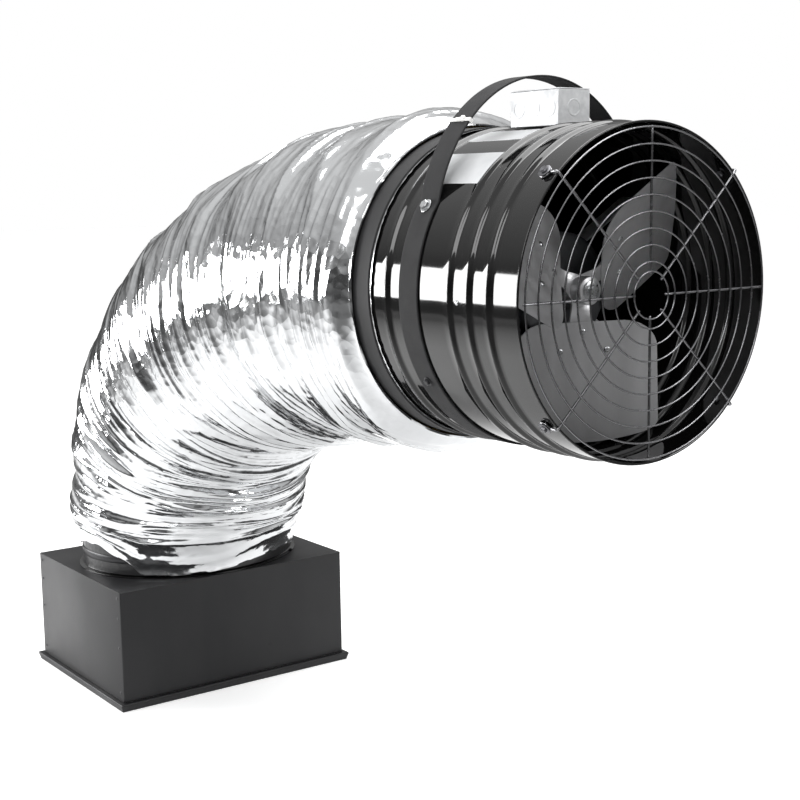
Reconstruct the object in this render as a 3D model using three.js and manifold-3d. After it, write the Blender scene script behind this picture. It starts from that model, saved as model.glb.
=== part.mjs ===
// Whole house fan: a ceiling damper box, an insulated flexible duct and a hung axial fan head.
// Millimetres, +Z up. Origin: centre of the box's open bottom, in the ceiling plane.
// +X runs along the long side of the box; the fan head blows along -Y.

import * as THREE from 'three';
import { mergeVertices } from 'three/addons/utils/BufferGeometryUtils.js';
import Module from 'manifold-3d';

const wasm = await Module();
wasm.setup();

// ---------------------------------------------------------------- driving dimensions

// clearances
const seatGap = 0.3;            // left between two pieces that rest on each other
const runGap = 0.5;             // left round a turning part

// damper box, folded sheet steel
const boxLength = 457;
const boxWidth = 362;
const boxHeight = 212;
const boxSheet = 1.2;
const boxCornerRadius = 3;

// lip round the foot, on which the box's walls stand
const lipReach = 9;
const lipHeight = 14;
const lipFoot = 5.5;            // how far the lip stands out at its foot

// seat frame for the damper doors, an angle ring inside the box
const ledgeHeight = 12;         // underside of the ledge above the ceiling plane
const ledgeReach = 16;
const frameSheet = 1.2;
const sealHeight = 4.5;
const sealWidth = 10;

// damper doors and their hinges
const doorThickness = 20;
const doorSkin = 1;
const doorSideGap = 3;          // between a door and the box walls
const hingeSpacing = 24;        // between the two hinge rods
const rodRadius = 2;
const sleeveRadius = 3.9;
const sleeveLength = 36;
const sleeveSpacing = 150;
const lugSpacing = 128;
const lugThickness = 3;
const lugRadius = 4.2;
const doorLipOffset = 5;        // hinge axis to the near lip of the door
const doorOpenAngle = 80;       // degrees
const mullionFlange = 18;       // half width over the flanges
const mullionWeb = 7;           // half width of the raised hat
const mullionTopDrop = 4;       // top of the hat below the hinge axis
const stopHeight = 60;          // door stop head above the hinge axis
const stopLength = 30;

// oval collar
const collarHalfLength = 200;   // outside
const collarSideMargin = 13;    // from the collar to the side of the box
const collarHalfWidth = boxWidth / 2 - collarSideMargin;
const collarHeight = 60;
const collarSheet = 1.2;
const collarFlange = 10;
const collarClampWidth = 12;
const collarClampThickness = 1.2;

// fan head
const rimY = -1212;             // front rim of the housing
const headHeight = 770;         // fan axis above the ceiling plane
const shellRadius = 203;
const shellSheet = 1.2;
const shellLength = 365;
const beadHeight = 4;
const beadWidth = 12;
const rimBead = 1.6;            // rolled edge at both ends
const lastBeadAt = 250;         // the bead nearest the duct, behind the rim
const frontBeadAt = 52;
const frontBeadPitch = 36;
const frontBeadCount = 3;

// flexible duct: liner, insulation, foil jacket
const linerStart = 4;           // above the box top
const linerSheet = 1.5;
const linerSlack = 9;           // between head and collar the liner is this much smaller than the housing
const linerMidRadius = shellRadius - linerSlack;
const linerReleaseLength = 200; // over which it turns round above the collar
const linerGatherLength = 170;  // over which it widens to the housing
const linerOverShell = 81;      // slides over the housing by this much
const jacketStart = 20;
const jacketSheet = 2;
const jacketHemRoom = 2.9;      // jacket bore outside the liner at its hem
const jacketLowRadius = Math.max(collarHalfLength + 14, linerMidRadius + 20);  // clears collar and liner
const jacketMidRadius = linerMidRadius + 29;   // round the bend, over the liner and the wool
const jacketHighRadius = linerMidRadius + 34;  // behind the head
const jacketLipRadius = shellRadius + 9.6;
const jacketOpenLength = 110;   // over which the jacket leaves the shape of the collar
const jacketLowEnd = 200;       // distances along the duct where it has each of those radii
const jacketMidAt = 500;
const jacketHighFrom = 900;
const jacketLipLength = 46;
const jacketFrontEdge = 318;    // behind the rim
const foldPitch = 44;
const foldDepth = 5;
const ductSides = 24;
const riseHandle = 368;         // how strongly the duct leaves the box upwards
const runHandle = 385;          // and how strongly it comes level behind the head
const headClampFrom = 285.5;    // black band over the liner end, behind the rim
const headClampTo = 322;
const headClampThickness = 2.4;

// motor
const motorMiddle = 204;        // behind the rim, also the plane of the arms and the strap
const motorRadius = 72;
const motorCanLength = 70;
const motorCanWall = 3;
const bellDepth = 24;
const bellWall = 4;
const bearingRadius = 17.5;
const bearingWidth = 11;
const shaftRadius = 6.35;
const statorLength = 50;
const statorBore = 38;
const coreLength = 48;
const clampBandWidth = 40;
const clampBandThickness = 2;

// motor arms
const armAngle = 31.5;            // above and below the horizontal
const armWidth = 28;
const armThickness = 3;
const armFoot = 20;
const bushThickness = 3;
const bushRadius = 8;

// propeller
const rotorPlane = 110;         // behind the rim
const bladeCount = 3;
const bladeTipGap = 9;          // to the housing's outside
const bladeTipRadius = shellRadius - bladeTipGap;
const bladeRootRadius = 40;
const bladeHalfWidth = 78;
const bladeRootCorner = 34;
const bladePitch = 30;          // degrees
const bladeSheet = 1.6;
const bladeCamber = 7;
const firstBladeAngle = 32;     // counter-clockwise from the right, seen from the front
const spiderSheet = 2.6;
const spiderRootHalf = 17;      // half width of an arm at the hub, its waist and its lobe
const spiderWaistHalf = 12;
const spiderLobeHalf = 36;
const spiderWaistRadius = 34;
const spiderShoulder = 78;      // the lobe is widest here
const spiderLobeRadius = 100;
const hubRadius = 18;
const hubFront = 100;           // behind the rim
const hubBack = 136;
const hubWasherRadius = 12.5;

// wire guard
const guardWire = 1.5;          // ring wire radius
const guardSpoke = 1.8;         // spoke wire radius
const guardPitch = 19.6;
const guardOuterRing = 196.6;
const guardRingCount = 9;
const guardEyeRing = 28.3;      // the small ring in the middle
const guardHookBack = 20;       // bolt of each hook behind the rim
const eyeRadius = 7;

// strap
const strapWidth = 38;
const strapThickness = 2.4;
const strapCrown = 267;         // top of the loop above the fan axis
const strapFlat = 13;           // lies flat past its last corner on the housing, under the bolt
const tieWidth = 4.5;
const tieSheet = 1.4;

// junction box on the housing's crown
const jboxLength = 91;
const jboxWidth = 52;
const jboxHeight = 44;
const jboxSheet = 1.4;
const jboxMiddle = 176.5;       // behind the rim
const jboxCoverSheet = 1.2;
const jboxScrewRadius = 1.8;
const knockoutRadius = 11;
const knockoutPitch = 29;
const knockoutDepth = 0.6;

// fasteners
const boltRadius = 3;
const strapBoltHead = 6.5;
const smallBoltHead = 4.6;
const nutHeight = 3;
const washerSheet = 1;

// ---------------------------------------------------------------- materials

const finish = (color, roughness, metalness) =>
  new THREE.MeshStandardMaterial({ color, roughness, metalness });
const charcoalSheet = finish(0x303132, 0.42, 0.3);
const blackGloss = finish(0x0b0b0c, 0.12, 0.3);
const foil = finish(0xd9dadb, 0.28, 0.9);
const blackTape = finish(0x161616, 0.8, 0);
const galvanised = finish(0xc9cccd, 0.4, 0.8);
const zincBolt = finish(0xb9bbbb, 0.35, 0.9);
const bladeGrey = finish(0x8d8f91, 0.45, 0.6);
const motorGrey = finish(0x4a4c4f, 0.5, 0.4);
const steel = finish(0x9a9c9e, 0.35, 0.9);
const copperWinding = finish(0xa05a2c, 0.5, 0.6);
const blackWire = finish(0x17181a, 0.35, 0.5);
const webbing = finish(0x1b1b1c, 0.9, 0);
const rubber = finish(0x111111, 0.85, 0);
const whiteNylon = finish(0xe8e8e6, 0.5, 0);
const foam = finish(0xd8c9a0, 0.9, 0);
const glassWool = finish(0xd9b8a8, 1, 0);
const linerFilm = finish(0x2a2a2c, 0.5, 0.1);

// ---------------------------------------------------------------- geometry helpers

const radians = THREE.MathUtils.degToRad;
const smooth = (from, to, value) => THREE.MathUtils.smoothstep(value, from, to);
const mix = THREE.MathUtils.lerp;

// drops folded-away triangles and turns the body inside out if its volume is negative
function closedBody(positions, triangles) {
  const corner = (i) => new THREE.Vector3().fromArray(positions, 3 * i);
  const kept = [];
  let volume = 0;
  for (let i = 0; i < triangles.length; i += 3) {
    const [a, b, c] = triangles.slice(i, i + 3);
    if (a === b || b === c || a === c) continue;
    kept.push(a, b, c);
    volume += corner(a).dot(corner(b).cross(corner(c)));
  }
  if (volume < 0) {
    for (let i = 0; i < kept.length; i += 3) [kept[i], kept[i + 1]] = [kept[i + 1], kept[i]];
  }
  const geometry = new THREE.BufferGeometry();
  geometry.setAttribute('position', new THREE.Float32BufferAttribute(positions, 3));
  geometry.setIndex(kept);
  geometry.computeVertexNormals();
  return geometry;
}

function welded(geometry) {
  const bare = geometry.clone();
  for (const name of Object.keys(bare.attributes)) {
    if (name !== 'position') bare.deleteAttribute(name);
  }
  const merged = mergeVertices(bare, 1e-4);
  return closedBody(Array.from(merged.attributes.position.array), Array.from(merged.index.array));
}

function toSolid(geometry) {
  const body = welded(geometry);
  return new wasm.Manifold(new wasm.Mesh({
    numProp: 3,
    vertProperties: new Float32Array(body.attributes.position.array),
    triVerts: new Uint32Array(body.index.array),
  }));
}

function toGeometry(solid) {
  const mesh = solid.getMesh();
  const geometry = new THREE.BufferGeometry();
  geometry.setAttribute('position', new THREE.Float32BufferAttribute(mesh.vertProperties, 3));
  geometry.setIndex(Array.from(mesh.triVerts));
  geometry.computeVertexNormals();
  return geometry;
}

const joined = (...pieces) => toGeometry(pieces.map(toSolid).reduce((a, b) => a.add(b)));
const cut = (piece, ...tools) =>
  toGeometry(tools.map(toSolid).reduce((left, tool) => left.subtract(tool), toSolid(piece)));

// a closed skin through rings of points; a loop joins its last ring to its first, and
// without a loop the first and last rings are capped. Each quad is split along its shorter
// diagonal, so that two skins that nest are split alike
function skin(rings, loop = true) {
  const count = rings[0].length;
  const positions = rings.flat().flatMap((p) => [p.x, p.y, p.z]);
  const triangles = [];
  const spans = loop ? rings.length : rings.length - 1;
  for (let i = 0; i < spans; i += 1) {
    const here = i * count;
    const next = ((i + 1) % rings.length) * count;
    for (let j = 0; j < count; j += 1) {
      const k = (j + 1) % count;
      const [a, b, c, d] = [here + j, here + k, next + k, next + j];
      const points = rings[(i + 1) % rings.length];
      if (rings[i][j].distanceTo(points[k]) < rings[i][k].distanceTo(points[j])) {
        triangles.push(a, b, c, a, c, d);
      } else {
        triangles.push(a, b, d, b, c, d);
      }
    }
  }
  const last = (rings.length - 1) * count;
  for (let j = 1; !loop && j < count - 1; j += 1) {
    triangles.push(0, j + 1, j, last, last + j, last + j + 1);
  }
  return closedBody(positions, triangles);
}

// a thin plate from a front and a back grid of points, closed along its four edges
function plate(rows, columns, pointAt) {
  const positions = [];
  for (const side of [0, 1]) {
    for (let i = 0; i <= rows; i += 1) {
      for (let j = 0; j <= columns; j += 1) {
        const p = pointAt(i / rows, j / columns, side);
        positions.push(p.x, p.y, p.z);
      }
    }
  }
  const at = (side, i, j) => side * (rows + 1) * (columns + 1) + i * (columns + 1) + j;
  const triangles = [];
  const quad = (a, b, c, d) => triangles.push(a, b, c, a, c, d);
  for (let i = 0; i < rows; i += 1) {
    for (let j = 0; j < columns; j += 1) {
      quad(at(0, i, j), at(0, i, j + 1), at(0, i + 1, j + 1), at(0, i + 1, j));
      quad(at(1, i, j), at(1, i + 1, j), at(1, i + 1, j + 1), at(1, i, j + 1));
    }
  }
  for (let i = 0; i < rows; i += 1) {
    quad(at(0, i, 0), at(0, i + 1, 0), at(1, i + 1, 0), at(1, i, 0));
    quad(at(0, i + 1, columns), at(0, i, columns), at(1, i, columns), at(1, i + 1, columns));
  }
  for (let j = 0; j < columns; j += 1) {
    quad(at(0, 0, j + 1), at(0, 0, j), at(1, 0, j), at(1, 0, j + 1));
    quad(at(0, rows, j), at(0, rows, j + 1), at(1, rows, j + 1), at(1, rows, j));
  }
  return closedBody(positions, triangles);
}

// turned about the Y axis: [radius, y] pairs that close on themselves
function turned(profile, segments) {
  const points = [...profile, profile[0]].map(([r, y]) => new THREE.Vector2(r, y));
  return welded(new THREE.LatheGeometry(points, segments));
}

// [x, y] pairs pushed along Z
function extruded(outline, depth, hole) {
  const shape = new THREE.Shape(outline.map(([x, y]) => new THREE.Vector2(x, y)));
  if (hole) shape.holes.push(new THREE.Path(hole.map(([x, y]) => new THREE.Vector2(x, y))));
  return welded(new THREE.ExtrudeGeometry(shape, { depth, bevelEnabled: false }));
}

// [y, z] pairs pushed along X, centred on x = 0
const alongX = (outline, length, hole) => extruded(outline, length, hole)
  .rotateZ(Math.PI / 2).rotateY(Math.PI / 2).translate(-length / 2, 0, 0);

// [x, z] pairs pushed along Y, centred on y = 0
const alongY = (outline, width, hole) => extruded(outline, width, hole)
  .rotateX(Math.PI / 2).translate(0, width / 2, 0);

const rectangle = (x0, y0, x1, y1) => [[x0, y0], [x1, y0], [x1, y1], [x0, y1]];
const block = (sizeX, sizeY, sizeZ) => welded(new THREE.BoxGeometry(sizeX, sizeY, sizeZ));

function roundedRectangle(halfX, halfY, radius, steps = 2) {
  const points = [];
  for (let quarter = 0; quarter < 4; quarter += 1) {
    const cx = (quarter === 0 || quarter === 3 ? 1 : -1) * (halfX - radius);
    const cy = (quarter < 2 ? 1 : -1) * (halfY - radius);
    for (let i = 0; i <= steps; i += 1) {
      const angle = (quarter + i / steps) * Math.PI / 2;
      points.push([cx + radius * Math.cos(angle), cy + radius * Math.sin(angle)]);
    }
  }
  return points;
}

// corners of an oval; everything round the duct shares its count of sides, so flats nest
function ellipse(halfX, halfY) {
  return Array.from({ length: ductSides }, (_, i) => {
    const angle = 2 * Math.PI * (i + 0.5) / ductSides;
    return [halfX * Math.cos(angle), halfY * Math.sin(angle)];
  });
}

// round bar along Z, from z = 0
const bar = (radius, length, sides = 8) =>
  welded(new THREE.CylinderGeometry(radius, radius, length, sides))
    .rotateX(Math.PI / 2).translate(0, 0, length / 2);

// wire bent through [y, z] points in the plane x = 0
function bentWire(points, radius, sides = 4) {
  const rings = points.map(([y, z], i) => {
    const [fromY, fromZ] = points[Math.max(i - 1, 0)];
    const [toY, toZ] = points[Math.min(i + 1, points.length - 1)];
    const normal = new THREE.Vector2(fromZ - toZ, toY - fromY).normalize();
    return Array.from({ length: sides }, (_, j) => {
      const angle = 2 * Math.PI * (j + 0.5) / sides;
      const out = radius * Math.sin(angle);
      return new THREE.Vector3(radius * Math.cos(angle), y + normal.x * out, z + normal.y * out);
    });
  });
  return skin(rings, false);
}

// turns a piece built along +Z so that it points outwards from the fan axis at an angle
// counter-clockwise from the right, seen from the front
const radially = (geometry, degrees) => geometry.rotateY(Math.PI / 2 - radians(degrees));

const part = new THREE.Group();
const head = new THREE.Group();
head.position.set(0, rimY, headHeight);
part.add(head);

function place(group, name, geometry, material, x = 0, y = 0, z = 0) {
  const mesh = new THREE.Mesh(geometry, material);
  mesh.name = name;
  mesh.position.set(x, y, z);
  group.add(mesh);
  return mesh;
}

// ---------------------------------------------------------------- damper box

const innerHalfLength = boxLength / 2 - boxSheet;
const innerHalfWidth = boxWidth / 2 - boxSheet;

function damperBox() {
  const outer = roundedRectangle(boxLength / 2, boxWidth / 2, boxCornerRadius);
  const inner = roundedRectangle(innerHalfLength, innerHalfWidth, boxCornerRadius - boxSheet);
  const foot = lipHeight + seatGap;
  const walls = extruded(outer, boxHeight - foot, inner).translate(0, 0, foot);
  const holeX = collarHalfLength - collarSheet;
  const holeY = collarHalfWidth - collarSheet;
  const top = extruded(outer, boxSheet, ellipse(holeX, holeY)).translate(0, 0, boxHeight - boxSheet);
  return joined(walls, top);
}

// foot lip: one section, flush inside with the walls, carried round the four mitred corners
function baseLip() {
  const section = [
    [-boxSheet, 0], [lipFoot, 0], [lipReach, lipHeight - 2], [lipReach - 1, lipHeight], [-boxSheet, lipHeight],
  ];
  const corners = [[1, 1], [-1, 1], [-1, -1], [1, -1]];
  return skin(corners.map(([sx, sy]) => section.map(([out, z]) =>
    new THREE.Vector3(sx * (boxLength / 2 + out), sy * (boxWidth / 2 + out), z))));
}

function ovalCollar() {
  const inner = ellipse(collarHalfLength - collarSheet, collarHalfWidth - collarSheet);
  const tube = extruded(ellipse(collarHalfLength, collarHalfWidth), collarHeight, inner);
  const flange = extruded(
    ellipse(collarHalfLength + collarFlange, collarHalfWidth + collarFlange), collarSheet, inner);
  return joined(tube, flange);
}

place(part, 'damper_box', damperBox(), charcoalSheet);
place(part, 'base_lip', baseLip(), charcoalSheet);
place(part, 'oval_collar', ovalCollar(), charcoalSheet, 0, 0, boxHeight + seatGap);

// ---------------------------------------------------------------- seat frame, mullion, doors

const ledgeTop = ledgeHeight + frameSheet;
const frameHalfLength = innerHalfLength - seatGap;
const frameHalfWidth = innerHalfWidth - seatGap;
const hingeHeight = ledgeTop + 2 * seatGap + sealHeight + doorThickness;
const hingeOffset = hingeSpacing / 2;
const doorHalfLength = innerHalfLength - doorSideGap;
const doorDepth = innerHalfWidth - doorSideGap - hingeOffset;
const mullionFoot = ledgeTop + seatGap;
const mullionTop = hingeHeight - mullionTopDrop;
const mullionLength = 2 * (frameHalfLength - frameSheet - seatGap);

function seatFrame() {
  const outer = roundedRectangle(frameHalfLength, frameHalfWidth, boxCornerRadius - boxSheet);
  const ring = (inset) => rectangle(
    -frameHalfLength + inset, -frameHalfWidth + inset, frameHalfLength - inset, frameHalfWidth - inset);
  const ledge = extruded(outer, frameSheet, ring(ledgeReach)).translate(0, 0, ledgeHeight);
  const leg = extruded(outer, ledgeTop, ring(frameSheet));
  return joined(ledge, leg);
}

// hat-section bar with lugs that hold the two hinge rods
function mullion() {
  const hat = alongX([
    [-mullionFlange, mullionFoot], [-mullionWeb + frameSheet, mullionFoot],
    [-mullionWeb + frameSheet, mullionTop - frameSheet], [mullionWeb - frameSheet, mullionTop - frameSheet],
    [mullionWeb - frameSheet, mullionFoot], [mullionFlange, mullionFoot],
    [mullionFlange, mullionFoot + frameSheet], [mullionWeb, mullionFoot + frameSheet],
    [mullionWeb, mullionTop], [-mullionWeb, mullionTop],
    [-mullionWeb, mullionFoot + frameSheet], [-mullionFlange, mullionFoot + frameSheet],
  ], mullionLength);
  const pieces = [hat];
  for (const step of [-1.5, -0.5, 0.5, 1.5]) {
    const lug = alongX([
      [-hingeOffset, hingeHeight + lugRadius], [-hingeOffset - lugRadius, hingeHeight],
      [-hingeOffset, hingeHeight - lugRadius], [-mullionWeb + frameSheet, mullionTop - lugRadius],
      [mullionWeb - frameSheet, mullionTop - lugRadius], [hingeOffset, hingeHeight - lugRadius],
      [hingeOffset + lugRadius, hingeHeight], [hingeOffset, hingeHeight + lugRadius],
    ], lugThickness);
    pieces.push(lug.translate(step * lugSpacing, 0, 0));
  }
  const rodHoles = [-1, 1].map((side) =>
    rodBar(rodRadius + seatGap, boxLength).translate(0, side * hingeOffset, hingeHeight));
  return cut(joined(...pieces), ...rodHoles);
}

const rodBar = (radius, length) => bar(radius, length).rotateY(Math.PI / 2).translate(-length / 2, 0, 0);

// one door lies on the +Y side with its hinge axis on y = 0, z = 0; side -1 mirrors it
function doorPan(side) {
  const lipNear = doorLipOffset;
  const y = (value) => side * value;
  const boxFrom = (x0, y0, z0, x1, y1, z1) => block(x1 - x0, Math.abs(y1 - y0), z1 - z0)
    .translate((x0 + x1) / 2, y((y0 + y1) / 2), (z0 + z1) / 2);
  const outer = boxFrom(-doorHalfLength, lipNear, -doorThickness, doorHalfLength, doorDepth, 0);
  const hollow = boxFrom(-doorHalfLength + doorSkin, lipNear + doorSkin, -doorThickness - 1,
    doorHalfLength - doorSkin, doorDepth - doorSkin, -doorSkin);
  const sleeves = [-1, 0, 1].map((step) => joined(
    rodBar(sleeveRadius, sleeveLength),
    boxFrom(-sleeveLength / 2, 0, -doorSkin, sleeveLength / 2, lipNear + doorSkin / 2, 0),
  ).translate(step * sleeveSpacing, 0, 0));
  return cut(joined(cut(outer, hollow), ...sleeves), rodBar(rodRadius + runGap, boxLength));
}

function doorFoam(side) {
  const from = doorLipOffset + doorSkin + seatGap;
  const to = doorDepth - doorSkin - seatGap;
  const height = doorThickness - doorSkin - 2 * seatGap;
  const length = 2 * (doorHalfLength - doorSkin - seatGap);
  return block(length, to - from, height)
    .translate(0, side * (from + to) / 2, -doorSkin - seatGap - height / 2);
}

// soft strip on three sides of a door's opening
function doorSeal(side) {
  const x = frameHalfLength - frameSheet - seatGap;
  const far = frameHalfWidth - frameSheet - seatGap;
  const near = mullionFlange + seatGap;
  const strip = [
    [-x, near], [-x + sealWidth, near], [-x + sealWidth, far - sealWidth],
    [x - sealWidth, far - sealWidth], [x - sealWidth, near], [x, near], [x, far], [-x, far],
  ];
  return extruded(strip.map(([px, py]) => [px, side * py]), sealHeight);
}

// T-shaped bracket that the open doors lean against
function doorStop() {
  const lean = radians(doorOpenAngle);
  const foot = mullionTop + seatGap;
  const headLow = hingeHeight + stopHeight;
  const faceAt = (z) => hingeOffset + (z - hingeHeight) / Math.tan(lean);
  const headHigh = headLow + 3;
  const half = [
    [mullionWeb - 1, foot], [mullionWeb - 1, foot + frameSheet], [frameSheet, foot + frameSheet],
    [frameSheet, headLow], [faceAt(headLow) - seatGap, headLow], [faceAt(headHigh) - seatGap, headHigh],
  ];
  const mirrored = half.map(([py, pz]) => [-py, pz]).reverse();
  return alongX([...half, ...mirrored], stopLength);
}

place(part, 'seat_frame', seatFrame(), charcoalSheet);
place(part, 'hinge_mullion', mullion(), charcoalSheet);
place(part, 'door_stop', doorStop(), charcoalSheet);
for (const [label, side] of [['front', -1], ['rear', 1]]) {
  const hingeY = side * hingeOffset;
  place(part, `hinge_rod_${label}`, rodBar(rodRadius, mullionLength), steel, 0, hingeY, hingeHeight);
  place(part, `door_pan_${label}`, doorPan(side), galvanised, 0, hingeY, hingeHeight);
  place(part, `door_foam_${label}`, doorFoam(side), foam, 0, hingeY, hingeHeight);
  place(part, `door_seal_${label}`, doorSeal(side), rubber, 0, 0, ledgeTop + seatGap);
}

// ---------------------------------------------------------------- flexible duct

const shellBack = rimY + shellLength;
const levelFrom = shellBack + 7;              // the duct runs level from here to the housing
const collarTop = boxHeight + collarHeight;
const ductPath = new THREE.CurvePath();
ductPath.add(new THREE.LineCurve3(
  new THREE.Vector3(0, 0, boxHeight + linerStart), new THREE.Vector3(0, 0, collarTop)));
ductPath.add(new THREE.CubicBezierCurve3(
  new THREE.Vector3(0, 0, collarTop), new THREE.Vector3(0, 0, collarTop + riseHandle),
  new THREE.Vector3(0, levelFrom + runHandle, headHeight), new THREE.Vector3(0, levelFrom, headHeight)));
ductPath.add(new THREE.LineCurve3(
  new THREE.Vector3(0, levelFrom, headHeight),
  new THREE.Vector3(0, shellBack - linerOverShell, headHeight)));
const ductLength = ductPath.getLength();
const jacketFrom = jacketStart - linerStart;
const jacketTo = ductLength - (jacketFrontEdge - (shellLength - linerOverShell));
const cornerReach = 1 / Math.cos(Math.PI / ductSides);  // a ring's corners over its flats

const linerFull = ductLength - linerOverShell - 12;     // as wide as on the housing from here

// half length and half width of the liner's outside, a distance along the duct
function linerSize(along) {
  const opened = smooth(collarHeight, collarHeight + linerReleaseLength, along);
  const atHead = smooth(linerFull - linerGatherLength, linerFull, along);
  const overShell = (shellRadius + seatGap) * cornerReach + linerSheet;
  const middle = mix(linerMidRadius, overShell, atHead);
  const wall = linerSheet + seatGap;
  return [mix(collarHalfLength + wall, middle, opened), mix(collarHalfWidth + wall, middle, opened)];
}

// the same for the foil jacket, on the middle of its folds
function jacketSize(along) {
  const opened = smooth(jacketFrom, jacketFrom + jacketOpenLength, along);
  const round = mix(
    mix(jacketLowRadius, jacketMidRadius, smooth(jacketLowEnd, jacketMidAt, along)),
    jacketHighRadius, smooth(jacketMidAt, jacketHighFrom, along));
  const lipped = mix(round, jacketLipRadius, smooth(jacketTo - jacketLipLength, jacketTo, along) ** 2);
  const room = linerSheet + seatGap + jacketHemRoom + jacketSheet;
  return [mix(collarHalfLength + room, lipped, opened), mix(collarHalfWidth + room, lipped, opened)];
}

const foldFade = (along) =>
  smooth(jacketFrom, jacketFrom + 40, along) * (1 - smooth(jacketTo - 30, jacketTo, along));

function ductRing(along, [halfX, halfN]) {
  const share = THREE.MathUtils.clamp(along / ductLength, 0, 1);
  const centre = ductPath.getPointAt(share);
  const tangent = ductPath.getTangentAt(share);
  return Array.from({ length: ductSides }, (_, i) => {
    const angle = 2 * Math.PI * (i + 0.5) / ductSides;
    const across = halfN * Math.sin(angle);
    return new THREE.Vector3(
      halfX * Math.cos(angle), centre.y - tangent.z * across, centre.z + tangent.y * across);
  });
}

const grown = ([a, b], by) => [a + by, b + by];
const foldCount = 2 * Math.round((jacketTo - jacketFrom) / foldPitch / 2);
const boreStep = (jacketTo - jacketFrom) / (foldCount / 2);
const evenStations = Array.from({ length: foldCount / 2 }, (_, i) => jacketFrom + i * boreStep);
const boreStations = [...evenStations, linerFull, jacketTo];
const jacketBore = (along) => grown(jacketSize(along), -jacketSheet - foldDepth / 2 * foldFade(along));

function foilJacket() {
  const outside = Array.from({ length: 2 * foldCount + 1 }, (_, i) => {
    const along = mix(jacketFrom, jacketTo, i / (2 * foldCount));
    const lift = foldDepth / 2 * foldFade(along) * (i % 2 ? 1 : -1);
    return ductRing(along, grown(jacketSize(along), lift));
  });
  const bore = boreStations.map((along) => ductRing(along, jacketBore(along)));
  return skin([...outside, ...bore.reverse()]);
}

// blanket and liner share every other station of the jacket, so that they nest on the bend
const innerStations = [collarHeight, ...evenStations.filter((_, i) => i % 2), linerFull];

function insulationBlanket() {
  const outside = [collarHeight, ...boreStations.slice(1, -1)]
    .map((along) => ductRing(along, grown(jacketBore(along), -2 * seatGap)));
  const inside = innerStations.map((along) => ductRing(along, grown(linerSize(along), 2 * seatGap)));
  return skin([...outside, ...inside.reverse()]);
}

function ductLiner() {
  const stations = [0, ...innerStations, ductLength];
  const outside = stations.map((along) => ductRing(along, linerSize(along)));
  const inside = stations.map((along) => ductRing(along, grown(linerSize(along), -linerSheet)));
  return skin([...outside, ...inside.reverse()]);
}

function collarClamp() {
  const outer = [collarHalfLength, collarHalfWidth].map((half) => half + linerSheet + 2 * seatGap);
  return extruded(ellipse(outer[0] + collarClampThickness, outer[1] + collarClampThickness),
    collarClampWidth, ellipse(outer[0], outer[1]));
}

function headClamp() {
  const inner = (shellRadius + seatGap) * cornerReach + linerSheet + seatGap;
  const outer = inner + headClampThickness;
  return turned([
    [inner, headClampFrom], [outer, headClampFrom], [outer, headClampTo], [inner, headClampTo],
  ], ductSides).rotateY(Math.PI / ductSides);
}

place(part, 'duct_liner', ductLiner(), linerFilm);
place(part, 'duct_insulation', insulationBlanket(), glassWool);
place(part, 'foil_jacket', foilJacket(), foil);
place(part, 'collar_clamp', collarClamp(), steel, 0, 0, boxHeight + jacketStart + 4);
place(head, 'head_clamp', headClamp(), blackTape);

// ---------------------------------------------------------------- fan housing

const shellSegments = 36;           // a multiple of 12, so that the strap's straight part lines up
const beadsAt = [
  ...Array.from({ length: frontBeadCount }, (_, i) => frontBeadAt + i * frontBeadPitch), lastBeadAt,
];
const armAngles = [armAngle, 180 - armAngle, 180 + armAngle, 360 - armAngle];
const hookAngles = [45, 135, 225, 315];

function shellTube() {
  const bore = shellRadius - shellSheet;
  const outside = [];
  const inside = [];
  for (const at of beadsAt) {
    outside.push([shellRadius, at - beadWidth / 2], [shellRadius + beadHeight, at],
      [shellRadius, at + beadWidth / 2]);
    inside.push([bore, at - beadWidth / 2], [bore + beadHeight, at], [bore, at + beadWidth / 2]);
  }
  const edge = (at, inwards) => [
    [shellRadius, at + inwards * 2 * rimBead], [shellRadius + rimBead, at + inwards * rimBead],
    [shellRadius, at], [bore, at], [bore, at + inwards * 2 * rimBead],
  ];
  return turned([
    ...edge(0, 1).reverse(), ...outside, [shellRadius, shellLength], [bore, shellLength],
    ...inside.reverse(),
  ], shellSegments);
}

// a bar for cutting a bolt's hole through the housing and what lies on it
const boltHole = (degrees, behind, radius = boltRadius) =>
  radially(bar(radius + seatGap, 50).translate(0, 0, shellRadius - 25), degrees).translate(0, behind, 0);

const jboxScrewsAt = [jboxMiddle - jboxLength / 4, jboxMiddle + jboxLength / 4];

function fanHousing() {
  return cut(shellTube(),
    ...armAngles.map((degrees) => boltHole(degrees, motorMiddle)),
    ...hookAngles.map((degrees) => boltHole(degrees, guardHookBack)),
    ...jboxScrewsAt.map((behind) => boltHole(90, behind, jboxScrewRadius)));
}

place(head, 'fan_housing', fanHousing(), blackGloss);

// ---------------------------------------------------------------- motor

const canFront = motorMiddle - motorCanLength / 2;
const canBack = motorMiddle + motorCanLength / 2;
const motorSides = 16;

const ring = (inner, outer, from, to, segments = motorSides) =>
  turned([[inner, from], [outer, from], [outer, to], [inner, to]], segments);

// cup-shaped end bell with a boss for its bearing; it faces -Y when front is true
function endBell(front) {
  const seat = bearingRadius + seatGap;
  const hole = shaftRadius + 2 * runGap;
  const inside = bellWall - bellDepth;
  const profile = [
    [motorRadius, 0], [motorRadius - 2, -bellDepth * 0.7], [motorRadius * 0.75, -bellDepth],
    [hole, -bellDepth - 3], [hole, -bellDepth], [seat, -bellDepth],
    [seat, bearingWidth - bellDepth], [seat + bellWall, bearingWidth - bellDepth],
    [seat + bellWall, inside], [motorRadius * 0.72, inside], [motorRadius - bellWall, 0],
  ];
  const at = front ? canFront - seatGap : canBack + seatGap;
  return turned(profile.map(([r, y]) => [r, at + (front ? y : -y)]), motorSides);
}

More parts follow.
